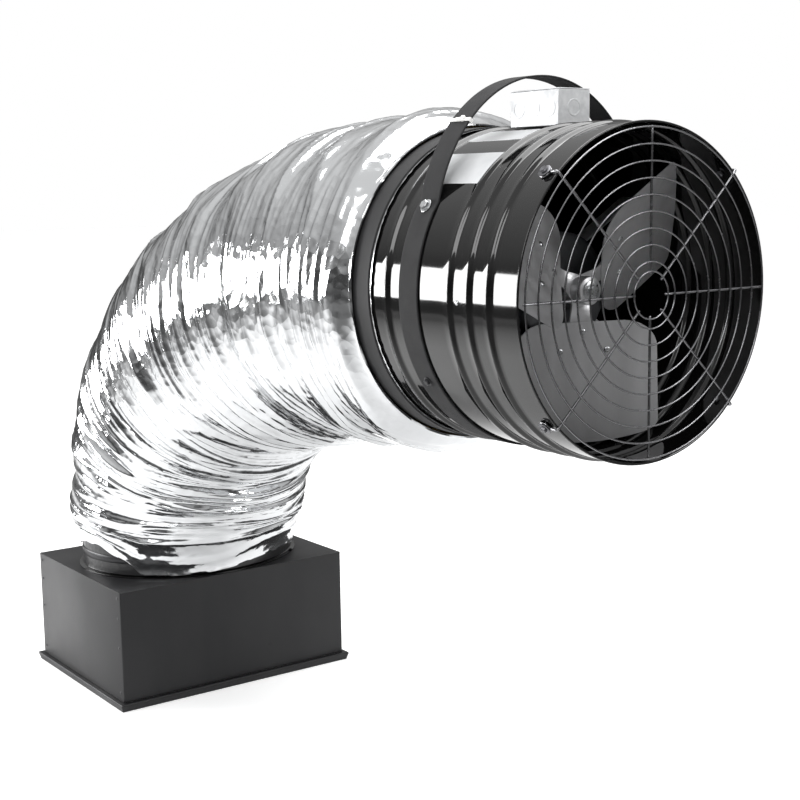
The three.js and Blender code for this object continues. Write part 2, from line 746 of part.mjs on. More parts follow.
const bearing = (front) => {
  const near = front ? canFront - seatGap - bellDepth + seatGap : canBack + bellDepth - bearingWidth;
  return ring(shaftRadius + seatGap, bearingRadius, near, near + bearingWidth, 16);
};

function motorShaft() {
  const from = hubFront + 1;
  const to = canBack + bellDepth + 2;
  return bar(shaftRadius, to - from, 12).rotateX(-Math.PI / 2).translate(0, from, 0);
}

const clampInner = motorRadius + seatGap;
const clampOuter = clampInner + clampBandThickness;

// the band's flat nearest an arm is tilted to it by this angle; a bush clears the flat's high side
const flatStep = 360 / motorSides;
const flatTilt = radians(Math.abs(armAngle % flatStep - flatStep / 2));
const bandFlat = clampOuter * Math.cos(Math.PI / motorSides);
const bushFoot = (bandFlat + bushRadius * Math.sin(flatTilt)) / Math.cos(flatTilt) + seatGap;
const armInner = bushFoot + bushThickness + seatGap;
const armOuter = shellRadius - shellSheet - 1.6;    // clears the housing at the ends of its flat foot

// bracket with one foot over the motor band and one under the housing
function motorArm() {
  const half = armFoot / 2;
  const bracket = alongY([
    [-half, armInner], [half, armInner], [half, armInner + armThickness],
    [-half + armThickness, armInner + armThickness], [-half + armThickness, armOuter - armThickness],
    [half, armOuter - armThickness], [half, armOuter], [-half, armOuter],
  ], armWidth);
  return cut(bracket, bar(boltRadius + seatGap, armOuter + 1));
}

// rubber bush on the motor band with its stud and nut through an arm's foot
function motorBush() {
  const nutFrom = armInner + armThickness + seatGap;
  return joined(
    bar(bushRadius, bushThickness, 12).translate(0, 0, bushFoot),
    bar(boltRadius, nutFrom + nutHeight - bushFoot).translate(0, 0, bushFoot + 1),
    bar(smallBoltHead + 1, nutHeight, 6).translate(0, 0, nutFrom),
  );
}

// bolt, washer and nut along +Z that grip what lies between two heights
function boltAndNut(gripFrom, gripTo, headRadius, washerRadius) {
  return joined(
    bar(washerRadius, washerSheet, 10).translate(0, 0, gripTo),
    bar(headRadius, headRadius * 0.65 + 1, 6).translate(0, 0, gripTo + washerSheet / 2),
    bar(boltRadius, gripTo - gripFrom + nutHeight).translate(0, 0, gripFrom - nutHeight + 0.5),
    bar(headRadius, nutHeight, 6).translate(0, 0, gripFrom - nutHeight),
  );
}

place(head, 'motor_can', ring(motorRadius - motorCanWall, motorRadius, canFront, canBack), motorGrey);
place(head, 'motor_front_bell', endBell(true), motorGrey);
place(head, 'motor_rear_bell', endBell(false), motorGrey);
place(head, 'front_bearing', bearing(true), steel);
place(head, 'rear_bearing', bearing(false), steel);
place(head, 'motor_stator', ring(statorBore, motorRadius - motorCanWall - seatGap,
  motorMiddle - statorLength / 2, motorMiddle + statorLength / 2), copperWinding);
place(head, 'motor_core', ring(shaftRadius + seatGap, statorBore - 1,
  motorMiddle - coreLength / 2, motorMiddle + coreLength / 2, 16), steel);
place(head, 'motor_shaft', motorShaft(), steel);
place(head, 'motor_band', ring(clampInner, clampOuter,
  motorMiddle - clampBandWidth / 2, motorMiddle + clampBandWidth / 2), steel);

const strapInner = shellRadius + seatGap;
const strapOuter = strapInner + strapThickness;
const armGrip = [armOuter - armThickness - seatGap, strapOuter + seatGap];
armAngles.forEach((degrees, i) => {
  const upper = i < 2;
  const name = `${upper ? 'strap_bolt' : 'arm_bolt'}_${i === 0 || i === 3 ? 'right' : 'left'}`;
  const size = upper ? strapBoltHead : smallBoltHead;
  place(head, `motor_arm_${i + 1}`, radially(motorArm(), degrees), steel, 0, motorMiddle, 0);
  place(head, `motor_bush_${i + 1}`, radially(motorBush(), degrees), rubber, 0, motorMiddle, 0);
  place(head, name, radially(boltAndNut(...armGrip, size, size * 1.35), degrees), zincBolt, 0, motorMiddle, 0);
});

// ---------------------------------------------------------------- propeller

const pitchSlope = Math.tan(radians(bladePitch));

// how far behind the rim the middle of the blade's sheet lies; across grows counter-clockwise
const bladeDepth = (across) =>
  rotorPlane - across * pitchSlope + bladeCamber * (1 - (across / bladeHalfWidth) ** 2);

// wide leaf with a rounded inner end and a tip that follows the housing
function fanBlade() {
  return plate(12, 2, (u, v, side) => {
    const across = bladeHalfWidth * Math.sin((u - 0.5) * Math.PI);
    const past = Math.max(Math.abs(across) - bladeHalfWidth + bladeRootCorner, 0);
    const root = bladeRootRadius + bladeRootCorner - Math.sqrt(bladeRootCorner ** 2 - past ** 2);
    const tip = Math.sqrt(bladeTipRadius ** 2 - across ** 2);
    return new THREE.Vector3(-across, bladeDepth(across) + (side - 0.5) * bladeSheet, mix(root, tip, v));
  });
}

// half width of a spider arm at a distance from the fan axis
function spiderHalf(along) {
  const waisted = mix(spiderRootHalf, spiderWaistHalf, smooth(0, spiderWaistRadius, along));
  const flared = mix(waisted, spiderLobeHalf, smooth(spiderWaistRadius, spiderShoulder, along));
  const pastLobe = Math.max(along - spiderShoulder, 0) / (spiderLobeRadius + 2 - spiderShoulder);
  return flared * Math.sqrt(1 - pastLobe ** 2);
}

// stamped arm behind a blade; it twists from the hub's plane to the blade's pitch
function spiderArm() {
  const behindBlade = bladeSheet / 2 + seatGap + spiderSheet / 2;
  const twisted = bladeRootRadius - 3;
  const stations = [4, hubRadius - 4, (hubRadius + twisted) / 2, twisted, 56, spiderShoulder, 92, spiderLobeRadius];
  return plate(stations.length - 1, 4, (u, v, side) => {
    const along = stations[Math.round(u * (stations.length - 1))];
    const across = (v - 0.5) * 2 * spiderHalf(along);
    const twist = smooth(hubRadius - 4, twisted, along);
    const depth = mix(bladeDepth(0), bladeDepth(across), twist) + behindBlade;
    return new THREE.Vector3(-across, depth + (side - 0.5) * spiderSheet, along);
  });
}

function hubSpider() {
  const boss = bar(hubRadius, hubBack - hubFront, 18).rotateX(-Math.PI / 2).translate(0, hubFront, 0);
  const arms = bladeAngles.map((degrees) => radially(spiderArm(), degrees));
  const bore = bar(shaftRadius + seatGap, 200, 12).rotateX(-Math.PI / 2);
  return cut(joined(boss, ...arms), bore);
}

function hubBolt() {
  const washer = bar(hubWasherRadius, 2, 18).translate(0, 0, seatGap);
  const boltHead = bar(6, 5, 6).translate(0, 0, 2);
  return joined(washer, boltHead).rotateX(Math.PI / 2).translate(0, hubFront, 0);
}

const bladeAngles = Array.from({ length: bladeCount }, (_, i) => firstBladeAngle + i * 360 / bladeCount);
place(head, 'hub_spider', hubSpider(), bladeGrey);
place(head, 'hub_bolt', hubBolt(), zincBolt);
bladeAngles.forEach((degrees, i) => {
  place(head, `blade_${i + 1}`, radially(fanBlade(), degrees), bladeGrey);
});

// ---------------------------------------------------------------- wire guard

const spokeLevel = -guardSpoke - seatGap;                   // in front of the rim
const ringLevel = spokeLevel - guardSpoke - guardWire + 1.4;  // welded to the front of the spokes
const eyeLevel = shellRadius + seatGap + guardSpoke;
const overRim = shellRadius + rimBead + seatGap + guardSpoke;

// a multiple of 8 sides, fewer on small rings, so that a spoke crosses in the middle of a side
const ringSides = (radius) => (radius > 110 ? 24 : 16);
const guardRing = (radius) => turned([
  [radius + guardWire, ringLevel], [radius, ringLevel + guardWire],
  [radius - guardWire, ringLevel], [radius, ringLevel - guardWire],
], ringSides(radius)).rotateY(Math.PI / ringSides(radius));

const straightSpoke = () => bentWire(
  [[spokeLevel, guardEyeRing - 4], [spokeLevel, guardOuterRing + guardWire]], guardSpoke);

// a spoke that bends back over the rim to an eye for its bolt
function hookedSpoke() {
  const hook = bentWire([
    [spokeLevel, guardEyeRing - 4], [spokeLevel, shellRadius], [spokeLevel * 0.55, overRim - 1.3],
    [rimBead, overRim + 0.3], [guardHookBack / 3, overRim - 0.2],
    [guardHookBack - eyeRadius, eyeLevel],
  ], guardSpoke);
  const eye = welded(new THREE.TorusGeometry(eyeRadius, guardSpoke, 4, 8))
    .translate(0, guardHookBack, eyeLevel);
  return joined(hook, eye);
}

function wireGuard() {
  const pieces = [guardRing(guardEyeRing)];
  for (let i = 0; i < guardRingCount; i += 1) pieces.push(guardRing(guardOuterRing - i * guardPitch));
  for (const degrees of hookAngles) {
    pieces.push(radially(hookedSpoke(), degrees), radially(straightSpoke(), degrees - 45));
  }
  return joined(...pieces);
}

place(head, 'wire_guard', wireGuard(), blackWire);
hookAngles.forEach((degrees, i) => {
  const grip = [(shellRadius - shellSheet) * Math.cos(Math.PI / shellSegments) - seatGap,
    eyeLevel + guardSpoke + seatGap];
  place(head, `guard_bolt_${i + 1}`,
    radially(boltAndNut(...grip, smallBoltHead, eyeRadius + 1.5), degrees), zincBolt, 0, guardHookBack, 0);
});

// ---------------------------------------------------------------- hanging strap

// right half of the strap's middle line as [x, z], from under the housing to the crown
function strapLine() {
  const middle = (strapInner + strapOuter) / 2;
  const step = 2 * Math.PI / shellSegments;
  const onShell = Array.from({ length: shellSegments / 3 + 1 }, (_, i) =>
    [middle * Math.cos(i * step - Math.PI / 2), middle * Math.sin(i * step - Math.PI / 2)]);
  const [leaveX, leaveZ] = onShell[onShell.length - 1];
  const flatTo = [leaveX - strapFlat * Math.sin(radians(35)), leaveZ + strapFlat * Math.cos(radians(35))];
  const loop = new THREE.CubicBezierCurve(
    new THREE.Vector2(...flatTo), new THREE.Vector2(flatTo[0] - 16, flatTo[1] + 78),
    new THREE.Vector2(90, strapCrown), new THREE.Vector2(0, strapCrown));
  return { onShell, loop };
}

function hangingStrap() {
  const { onShell, loop } = strapLine();
  const free = loop.getPoints(9).map((p) => [p.x, p.y]);
  const half = [...onShell, ...free];
  const mirrored = half.slice(1, -1).map(([x, z]) => [-x, z]).reverse();
  const line = [...half, ...mirrored];
  const rings = line.map(([x, z], i) => {
    const [fromX, fromZ] = line[(i + line.length - 1) % line.length];
    const [toX, toZ] = line[(i + 1) % line.length];
    const out = new THREE.Vector2(toZ - fromZ, fromX - toX).setLength(strapThickness / 2);
    return [[-1, -1], [-1, 1], [1, 1], [1, -1]].map(([side, edge]) =>
      new THREE.Vector3(x + side * out.x, motorMiddle + edge * strapWidth / 2, z + side * out.y));
  });
  return cut(skin(rings), ...armAngles.map((degrees) => boltHole(degrees, motorMiddle)));
}

// nylon tie round the strap's left leg, with its lock and a short tail
function strapTie() {
  const { loop } = strapLine();
  const at = loop.getPoint(0.45);
  const along = loop.getTangent(0.45);
  const inner = rectangle(-strapThickness / 2 - seatGap, -strapWidth / 2 - seatGap,
    strapThickness / 2 + seatGap, strapWidth / 2 + seatGap);
  const outer = inner.map(([x, y]) => [x + Math.sign(x) * tieSheet, y + Math.sign(y) * tieSheet]);
  const band = extruded(outer, tieWidth, inner).translate(0, 0, -tieWidth / 2);
  const outside = -strapThickness / 2 - seatGap - 2.5;
  const lock = block(4.5, 6, tieWidth + 1.5).translate(outside, -8, 0);
  const tail = block(tieSheet, 16, tieWidth - 1).translate(outside, -1, 0);
  return joined(band, lock, tail).rotateY(Math.atan2(-along.x, along.y))
    .translate(-at.x, motorMiddle, at.y);
}

place(head, 'hanging_strap', hangingStrap(), webbing);
place(head, 'strap_tie', strapTie(), whiteNylon);

// ---------------------------------------------------------------- junction box

const jboxFoot = shellRadius + seatGap;
const jboxTop = jboxFoot + jboxHeight;

function junctionBox() {
  const outer = block(jboxWidth, jboxLength, jboxHeight);
  const room = block(jboxWidth - 2 * jboxSheet, jboxLength - 2 * jboxSheet, jboxHeight)
    .translate(0, 0, jboxSheet);
  const knockouts = [];
  for (const side of [-1, 1]) {
    for (const step of [-1, 0, 1]) {
      knockouts.push(bar(knockoutRadius, 2 * knockoutDepth, 10).rotateY(Math.PI / 2)
        .translate(side * jboxWidth / 2 - knockoutDepth, step * knockoutPitch, 0));
    }
    knockouts.push(bar(knockoutRadius, 2 * knockoutDepth, 10).rotateX(Math.PI / 2)
      .translate(0, side * jboxLength / 2 + knockoutDepth, 0));
  }
  const screwHoles = jboxScrewsAt.map((behind) =>
    bar(jboxScrewRadius + seatGap, jboxHeight).translate(0, behind - jboxMiddle, -jboxHeight));
  return cut(outer, room, ...knockouts, ...screwHoles);
}

const jboxCover = () => block(jboxWidth, jboxLength, jboxCoverSheet);

// self-tapping screw from inside the box into the housing
function jboxScrew() {
  return joined(bar(3.6, 2.4, 12), bar(jboxScrewRadius, 9).translate(0, 0, -8));
}

place(head, 'junction_box', junctionBox(), galvanised, 0, jboxMiddle, jboxFoot + jboxHeight / 2);
place(head, 'junction_cover', jboxCover(), galvanised, 0, jboxMiddle, jboxTop + seatGap + jboxCoverSheet / 2);
jboxScrewsAt.forEach((behind, i) => {
  place(head, `box_screw_${i + 1}`, jboxScrew(), zincBolt, 0, behind, jboxFoot + jboxSheet + seatGap);
});

export default part;
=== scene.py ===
# A whole house fan: a ceiling damper box, an insulated foil duct and a fan head hung on a strap.
# Metres; +X runs along the long side of the box, +Z is up and the head blows along -Y.
import math
import bmesh
import bpy
import numpy as np
from mathutils import Matrix, Vector


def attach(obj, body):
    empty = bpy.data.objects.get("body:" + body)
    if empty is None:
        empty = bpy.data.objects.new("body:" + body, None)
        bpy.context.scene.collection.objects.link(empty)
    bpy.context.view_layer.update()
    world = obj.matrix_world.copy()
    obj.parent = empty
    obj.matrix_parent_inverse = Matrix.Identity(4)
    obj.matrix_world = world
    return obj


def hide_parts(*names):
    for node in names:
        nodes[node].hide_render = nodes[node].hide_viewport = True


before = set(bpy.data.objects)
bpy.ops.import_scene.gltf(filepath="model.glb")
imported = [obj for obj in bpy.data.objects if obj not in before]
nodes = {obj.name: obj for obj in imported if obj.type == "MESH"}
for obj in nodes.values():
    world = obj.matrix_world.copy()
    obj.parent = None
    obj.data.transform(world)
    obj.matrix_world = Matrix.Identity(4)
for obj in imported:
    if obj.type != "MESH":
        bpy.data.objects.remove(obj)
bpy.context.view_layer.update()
scene = bpy.context.scene
turn = 2 * math.pi
print("frame loaded:", len(nodes), "nodes")

head = {"rim": -1.212, "axisHeight": 0.77, "radius": 0.203, "sheet": 0.0012, "length": 0.365}


# ---- sums that every piece uses

def mix(a, b, t):  # the straight blend a + (b - a) t
    return a + (b - a) * t


def ease(start, end, x):  # 0 before start and 1 after end, along 3t^2 - 2t^3 between them
    t = np.clip((np.asarray(x, float) - start) / (end - start), 0, 1)
    return t * t * (3 - 2 * t)


def latticeNoise(u, v, cellsU, cellsV, seed, eased=True):
    # random heights at whole steps of u cellsU and v cellsV, eased between them, or straight, which leaves
    # flat facets with creases; v closes on itself
    values = np.random.default_rng(seed).uniform(-1, 1, (cellsU + 2, cellsV))
    x, y = np.clip(u, 0, 1) * cellsU, (v % 1) * cellsV
    i, j = np.floor(x).astype(int), np.floor(y).astype(int)
    fx, fy = x - i, y - j
    if eased:
        fx, fy = fx * fx * (3 - 2 * fx), fy * fy * (3 - 2 * fy)
    j0, j1 = j % cellsV, (j + 1) % cellsV
    low = mix(values[i, j0], values[i, j1], fy)
    high = mix(values[i + 1, j0], values[i + 1, j1], fy)
    return mix(low, high, fx)


def turnFacesOut(mesh):
    # the sum of a . (b x c) over the triangles is six times the volume; below zero the shape is inside out
    mesh.calc_loop_triangles()
    corners = np.empty(len(mesh.loop_triangles) * 3, int)
    mesh.loop_triangles.foreach_get("vertices", corners)
    places = np.empty(len(mesh.vertices) * 3)
    mesh.vertices.foreach_get("co", places)
    a, b, c = np.moveaxis(places.reshape(-1, 3)[corners.reshape(-1, 3)], 1, 0)
    if np.einsum("ij,ij->i", a - a.mean(0), np.cross(b - a.mean(0), c - a.mean(0))).sum() < 0:
        mesh.flip_normals()


def gridMesh(name, points, alongWraps=False, capped=False, span=(1, 1)):
    # points is a grid [along, around, xyz] whose columns close on themselves; alongWraps closes the rows too,
    # and capped puts a flat face on the first and last row. The UV map runs over span, in metres.
    rows, columns, _ = points.shape
    lastRow = rows if alongWraps else rows - 1
    i, j = np.meshgrid(np.arange(lastRow), np.arange(columns), indexing="ij")
    nextRow, nextColumn = (i + 1) % rows, (j + 1) % columns
    quads = np.stack([i * columns + j, nextRow * columns + j, nextRow * columns + nextColumn,
                      i * columns + nextColumn], -1).reshape(-1, 4)
    faces = quads.tolist()
    if capped:
        faces += [list(range(columns)), list(range((rows - 1) * columns, rows * columns))[::-1]]
    mesh = bpy.data.meshes.new(name)
    mesh.from_pydata(points.reshape(-1, 3).tolist(), [], faces)
    layer = mesh.uv_layers.new(name="surfaceMap")
    across = np.stack([j, j, j + 1, j + 1], -1) / columns * span[0]
    along = np.stack([i, i + 1, i + 1, i], -1) / lastRow * span[1]
    flat = np.zeros((len(mesh.loops), 2))
    flat[:quads.size] = np.stack([across, along], -1).reshape(-1, 2)
    layer.data.foreach_set("uv", flat.ravel())
    mesh.validate()
    turnFacesOut(mesh)
    return mesh


def addObject(name, data):
    thing = bpy.data.objects.new(name, data)
    scene.collection.objects.link(thing)
    return thing


def addPiece(name, mesh, material, standsFor=(), body="root", sharp=38, bevel=0):
    piece = addObject(name, mesh)
    mesh.materials.clear()
    mesh.materials.append(material)
    mesh.shade_smooth()
    mesh.set_sharp_from_angle(angle=math.radians(sharp))
    if bevel:
        rounding = piece.modifiers.new("edges", "BEVEL")
        rounding.width = bevel
        rounding.segments = 2
        rounding.limit_method = "ANGLE"
        rounding.angle_limit = math.radians(32)
    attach(piece, body)
    if standsFor:
        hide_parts(*standsFor)


def addGrid(name, points, material, standsFor=(), body="root", slot=None, sharp=38, **grid):
    # a piece made straight from its grid of points
    addPiece(name, gridMesh(name, points, **grid), material, standsFor, body, sharp)


def headPoint(radius, angle, behind):
    # on the fan head: radius from the axis, angle up from +X seen from the front, distance behind the rim
    radius, angle, behind = np.broadcast_arrays(radius, angle, behind)
    return np.stack([radius * np.cos(angle), head["rim"] + behind,
                     head["axisHeight"] + radius * np.sin(angle)], -1)


def turnedMesh(name, profile, segments=128):
    # a closed profile of (radius, distance behind the rim) carried once round the head's axis
    profile = np.asarray(profile, float)
    angle = np.arange(segments) / segments * turn
    points = headPoint(profile[:, None, 0], angle[None, :], profile[:, None, 1])
    length = np.hypot(*np.diff(profile, axis=0).T).sum()
    return gridMesh(name, points, alongWraps=True, span=(turn * profile[:, 0].max(), length))


def sleeve(low, high, inner, edge, outer, run):
    # the profile of a short tube whose outer edges are cut back from outer to edge over run
    return [(inner, low), (edge, low), (outer, low + run), (outer, high - run), (edge, high), (inner, high)]


def addTurned(name, profile, segments, material, standsFor, sharp=38):
    addPiece(name, turnedMesh(name, profile, segments), material, [standsFor], sharp=sharp)


def pathFrames(path, closed=False):
    # unit tangents, and two directions square to them that turn as little as they can from point to point
    ahead = np.roll(path, -1, 0) - np.roll(path, 1, 0)
    if not closed:
        ahead[0], ahead[-1] = path[1] - path[0], path[-1] - path[-2]
    ahead /= np.linalg.norm(ahead, axis=1)[:, None]
    side = np.zeros_like(path)
    start = np.cross(ahead[0], [0.3, 0.2, 0.93])
    side[0] = start / np.linalg.norm(start)
    for k in range(1, len(path)):
        s = side[k - 1] - ahead[k] * np.dot(side[k - 1], ahead[k])
        side[k] = s / np.linalg.norm(s)
    return ahead, side, np.cross(ahead, side)


def wirePoints(path, radius, sides=10, closed=False):
    # a circle of the wire's radius carried along the path; the end rings of an open wire shrink, so it ends round
    path = np.asarray(path, float)
    if not closed:
        first, last = path[1] - path[0], path[-1] - path[-2]
        first, last = first / np.linalg.norm(first), last / np.linalg.norm(last)
        path = np.vstack([path[:1], path[:1] + first * radius * 0.35, path[:1] + first * radius,
                          path[1:-1], path[-1:] - last * radius, path[-1:] - last * radius * 0.35, path[-1:]])
    ahead, side, over = pathFrames(path, closed)
    size = np.full(len(path), radius)
    if not closed:
        size[[0, -1]], size[[1, -2]] = radius * 0.35, radius * 0.8
    angle = np.arange(sides) / sides * turn
    ring = np.cos(angle)[None, :, None] * side[:, None] + np.sin(angle)[None, :, None] * over[:, None]
    return path[:, None] + ring * size[:, None, None]


def bezier(a, b, c, d, t):
    # the cubic a (1-t)^3 + 3 b (1-t)^2 t + 3 c (1-t) t^2 + d t^3
    return (1 - t) ** 3 * a + 3 * (1 - t) ** 2 * t * b + 3 * (1 - t) * t ** 2 * c + t ** 3 * d


def roundedPath(corners, times=3):
    # each pass cuts every corner at a quarter and three quarters of its sides
    path = np.asarray(corners, float)
    for _ in range(times):
        cut = np.empty((2 * len(path) - 2, path.shape[1]))
        cut[0::2], cut[1::2] = 0.75 * path[:-1] + 0.25 * path[1:], 0.25 * path[:-1] + 0.75 * path[1:]
        path = np.vstack([path[:1], cut, path[-1:]])
    return path


def stackPoints(rings, place, axis, sides=24):
    # rings of (height, radius, hexagon 0 or 1) stacked along an axis; a hexagon's radius is over its corners
    axis = np.asarray(axis, float) / np.linalg.norm(axis)
    e1 = np.cross(axis, [0, 1, 0] if abs(axis[1]) < 0.9 else [1, 0, 0])
    e1 /= np.linalg.norm(e1)
    e2 = np.cross(axis, e1)
    angle = np.arange(sides) / sides * turn
    rings = np.asarray(rings, float)
    hexagon = math.cos(math.radians(30)) / np.cos(angle % math.radians(60) - math.radians(30))
    radius = rings[:, 1:2] * mix(1, hexagon[None, :], rings[:, 2:3])
    return (np.asarray(place, float) + rings[:, 0, None, None] * axis
            + radius[..., None] * (np.cos(angle)[:, None] * e1 + np.sin(angle)[:, None] * e2))


def joinMeshes(name, meshes):
    whole = bmesh.new()
    for mesh in meshes:
        whole.from_mesh(mesh)
        bpy.data.meshes.remove(mesh)
    mesh = bpy.data.meshes.new(name)
    whole.to_mesh(mesh)
    whole.free()
    return mesh


def softenedCopy(node, material, width, body="root", name=None):
    # the node's own solid with its doubles merged, its flat faces joined and its edges rounded
    copy = bmesh.new()
    copy.from_mesh(nodes[node].data)
    bmesh.ops.remove_doubles(copy, verts=copy.verts, dist=1e-5)
    bmesh.ops.dissolve_limit(copy, angle_limit=math.radians(1), verts=copy.verts, edges=copy.edges)
    mesh = bpy.data.meshes.new(name or node + "Finished")
    copy.to_mesh(mesh)
    copy.free()
    addPiece(name or node + "Finished", mesh, material, [node], body, bevel=width)


# ---- effects shared by the finishes

def effectGroup(name, inputs, output):
    # all its sockets are plain numbers
    group = bpy.data.node_groups.new(name, "ShaderNodeTree")
    number = "NodeSocketFloat"
    for socket, value in inputs.items():
        made = group.interface.new_socket(name=socket, in_out="INPUT", socket_type=number)
        made.default_value = value
    group.interface.new_socket(name=output, in_out="OUTPUT", socket_type=number)
    return group, group.nodes.new("NodeGroupInput"), group.nodes.new("NodeGroupOutput")


def joinSockets(tree, links):
    # a link is a node, its output, a node and its input
    for source, output, target, entry in links:
        tree.links.new(source.outputs[output], target.inputs[entry])


def setInputs(node, values):
    for key, value in values.items():
        node.inputs[key].default_value = value
    return node


def addNode(tree, kind, inputs=(), **settings):
    # kind goes without its first word, ShaderNode
    node = tree.nodes.new("ShaderNode" + kind)
    for key, value in settings.items():
        setattr(node, key, value)
    return setInputs(node, dict(inputs))


def buildMottle():
    # soft noise over the piece, spread between low and high; stretch above 1 draws it out along Z
    group, given, out = effectGroup("mottle", {"Scale": 20, "Stretch": 1, "Low": 0, "High": 1}, "Value")
    place = addNode(group, "TexCoord")
    squeeze = addNode(group, "Math", {0: 1}, operation="DIVIDE")
    factor = addNode(group, "CombineXYZ", {0: 1, 1: 1})
    drawn = addNode(group, "VectorMath", operation="MULTIPLY")
    noise = addNode(group, "TexNoise", {"Detail": 5})
    spread = addNode(group, "MapRange", {"From Min": 0.32, "From Max": 0.68})
    joinSockets(group, [
        (given, "Stretch", squeeze, 1), (squeeze, 0, factor, 2),
        (place, "Object", drawn, 0), (factor, 0, drawn, 1),
        (drawn, 0, noise, "Vector"), (given, "Scale", noise, "Scale"),
        (noise, 0, spread, "Value"), (given, "Low", spread, "To Min"),
        (given, "High", spread, "To Max"), (spread, 0, out, "Value")])
    return group


def buildCrinkle():
    # sharp creases: ridged noise over the UV map, drawn out round the duct, and finer ridges over the piece
    group, given, out = effectGroup("crinkle", {"Round": 5, "Along": 34, "Fine": 60, "Share": 0.4}, "Height")
    surface = addNode(group, "UVMap", uv_map="surfaceMap")
    factor = addNode(group, "CombineXYZ")
    drawn = addNode(group, "VectorMath", operation="MULTIPLY")
    place = addNode(group, "TexCoord")
    ridged = {"noise_type": "RIDGED_MULTIFRACTAL", "normalize": True}
    broad = addNode(group, "TexNoise", {"Scale": 1, "Detail": 4, "Distortion": 0.6}, **ridged)
    fine = addNode(group, "TexVoronoi", feature="F1")
    finer = addNode(group, "TexNoise", {"Detail": 3}, **ridged)
    mixed = addNode(group, "Math", operation="ADD")
    weighed = addNode(group, "Math", operation="MULTIPLY")
    total = addNode(group, "Math", operation="ADD")
    joinSockets(group, [
        (given, "Round", factor, 0), (given, "Along", factor, 1),
        (surface, 0, drawn, 0), (factor, 0, drawn, 1),
        (drawn, 0, broad, "Vector"),
        (place, "Object", fine, "Vector"), (given, "Fine", fine, "Scale"),
        (place, "Object", finer, "Vector"), (given, "Fine", finer, "Scale"),
        (fine, "Distance", mixed, 0), (finer, 0, mixed, 1),
        (mixed, 0, weighed, 0), (given, "Share", weighed, 1),
        (broad, 0, total, 0), (weighed, 0, total, 1),
        (total, 0, out, "Height")])
    return group


def buildWeave():
    # two crossing sets of waves over the UV map, in threads per metre; the higher thread shows
    group, given, out = effectGroup("weave", {"Across": 600, "Along": 900}, "Height")
    surface = addNode(group, "UVMap", uv_map="surfaceMap")
    split = addNode(group, "SeparateXYZ")
    group.links.new(surface.outputs[0], split.inputs[0])
    waves = []
    for axis, count in enumerate(("Across", "Along")):
        times = addNode(group, "Math", operation="MULTIPLY")
        wave = addNode(group, "Math", operation="SINE")
        joinSockets(group, [(split, axis, times, 0), (given, count, times, 1),
                            (times, 0, wave, 0)])
        waves.append(wave)
    product = addNode(group, "Math", operation="MULTIPLY")
    joinSockets(group, [(waves[0], 0, product, 0), (waves[1], 0, product, 1),
                        (product, 0, out, "Height")])
    return group


mottle, crinkle, weave = buildMottle(), buildCrinkle(), buildWeave()


def spots(scale, low=0, high=1, stretch=1):  # the values of a mottle
    return {"Scale": scale, "Low": low, "High": high, "Stretch": stretch}


def shaderOf(material):
    return material.node_tree.nodes["Principled BSDF"]


def finish(name, colour, roughness, metallic=0.0, second=None, patch=None, rough=None, bump=None):
    # colour, or colour to second by a mottle called patch; rough is a mottle of the roughness;
    # bump is (group, values, distance, strength)
    material = bpy.data.materials.new(name)
    material.use_nodes = True
    tree = material.node_tree
    shader = shaderOf(material)
    setInputs(shader, {"Base Color": (*colour, 1), "Roughness": roughness, "Metallic": metallic})
    if second:
        tint = addNode(tree, "Mix", {6: (*colour, 1), 7: (*second, 1)}, data_type="RGBA")
        tree.links.new(addNode(tree, "Group", patch, node_tree=mottle).outputs[0], tint.inputs[0])
        tree.links.new(tint.outputs[2], shader.inputs["Base Color"])
    if rough:
        tree.links.new(addNode(tree, "Group", rough, node_tree=mottle).outputs[0], shader.inputs["Roughness"])
    if bump:
        group, values, distance, strength = bump
        relief = addNode(tree, "Bump", {"Distance": distance, "Strength": strength})
        tree.links.new(addNode(tree, "Group", values, node_tree=group).outputs[0], relief.inputs["Height"])
        tree.links.new(relief.outputs[0], shader.inputs["Normal"])
    return material


grain = spots(900)
boxPaint = finish("charcoalPowderCoat", (0.011, 0.011, 0.012), 0.42, second=(0.019, 0.019, 0.02),
                  patch=spots(7, stretch=4), rough=spots(5, 0.34, 0.5),
                  bump=(mottle, grain, 0.0002, 0.25))
shaderOf(boxPaint).inputs["Specular IOR Level"].default_value = 0.28  # powder coat mirrors little
gloss = finish("blackGlossPaint", (0.004, 0.004, 0.004), 0.07, rough=spots(9, 0.04, 0.09),
               bump=(mottle, spots(22), 0.0001, 0.05))
shaderOf(gloss).inputs["IOR"].default_value = 1.56  # and hard lacquer more than most paint
foil = finish("crinkledFoil", (0.66, 0.67, 0.68), 0.14, 1.0, rough=spots(12, 0.09, 0.17),
              bump=(crinkle, {"Round": 4, "Along": 26, "Share": 0.45}, 0.0036, 0.52))
linerFilm = finish("linerFilm", (0.02, 0.02, 0.021), 0.3,
                   bump=(crinkle, {"Round": 3, "Along": 60, "Fine": 110}, 0.002, 0.4))
foilEdge = finish("foilEdge", (0.8, 0.81, 0.82), 0.25, 1.0)
bandTape = finish("mattTape", (0.013, 0.013, 0.014), 0.7,
                  bump=(weave, {"Across": 5000, "Along": 5000}, 0.0001, 0.3))
webbing = finish("webbing", (0.007, 0.007, 0.008), 0.8, second=(0.013, 0.013, 0.014), patch=spots(40),
                 bump=(weave, {"Across": 3600, "Along": 2600}, 0.0004, 0.6))
zinc = finish("zincPlate", (0.62, 0.63, 0.64), 0.28, 1.0, rough=spots(300, 0.2, 0.36))
dullZinc = finish("dullZinc", (0.16, 0.16, 0.17), 0.36, 1.0, rough=spots(300, 0.28, 0.44))
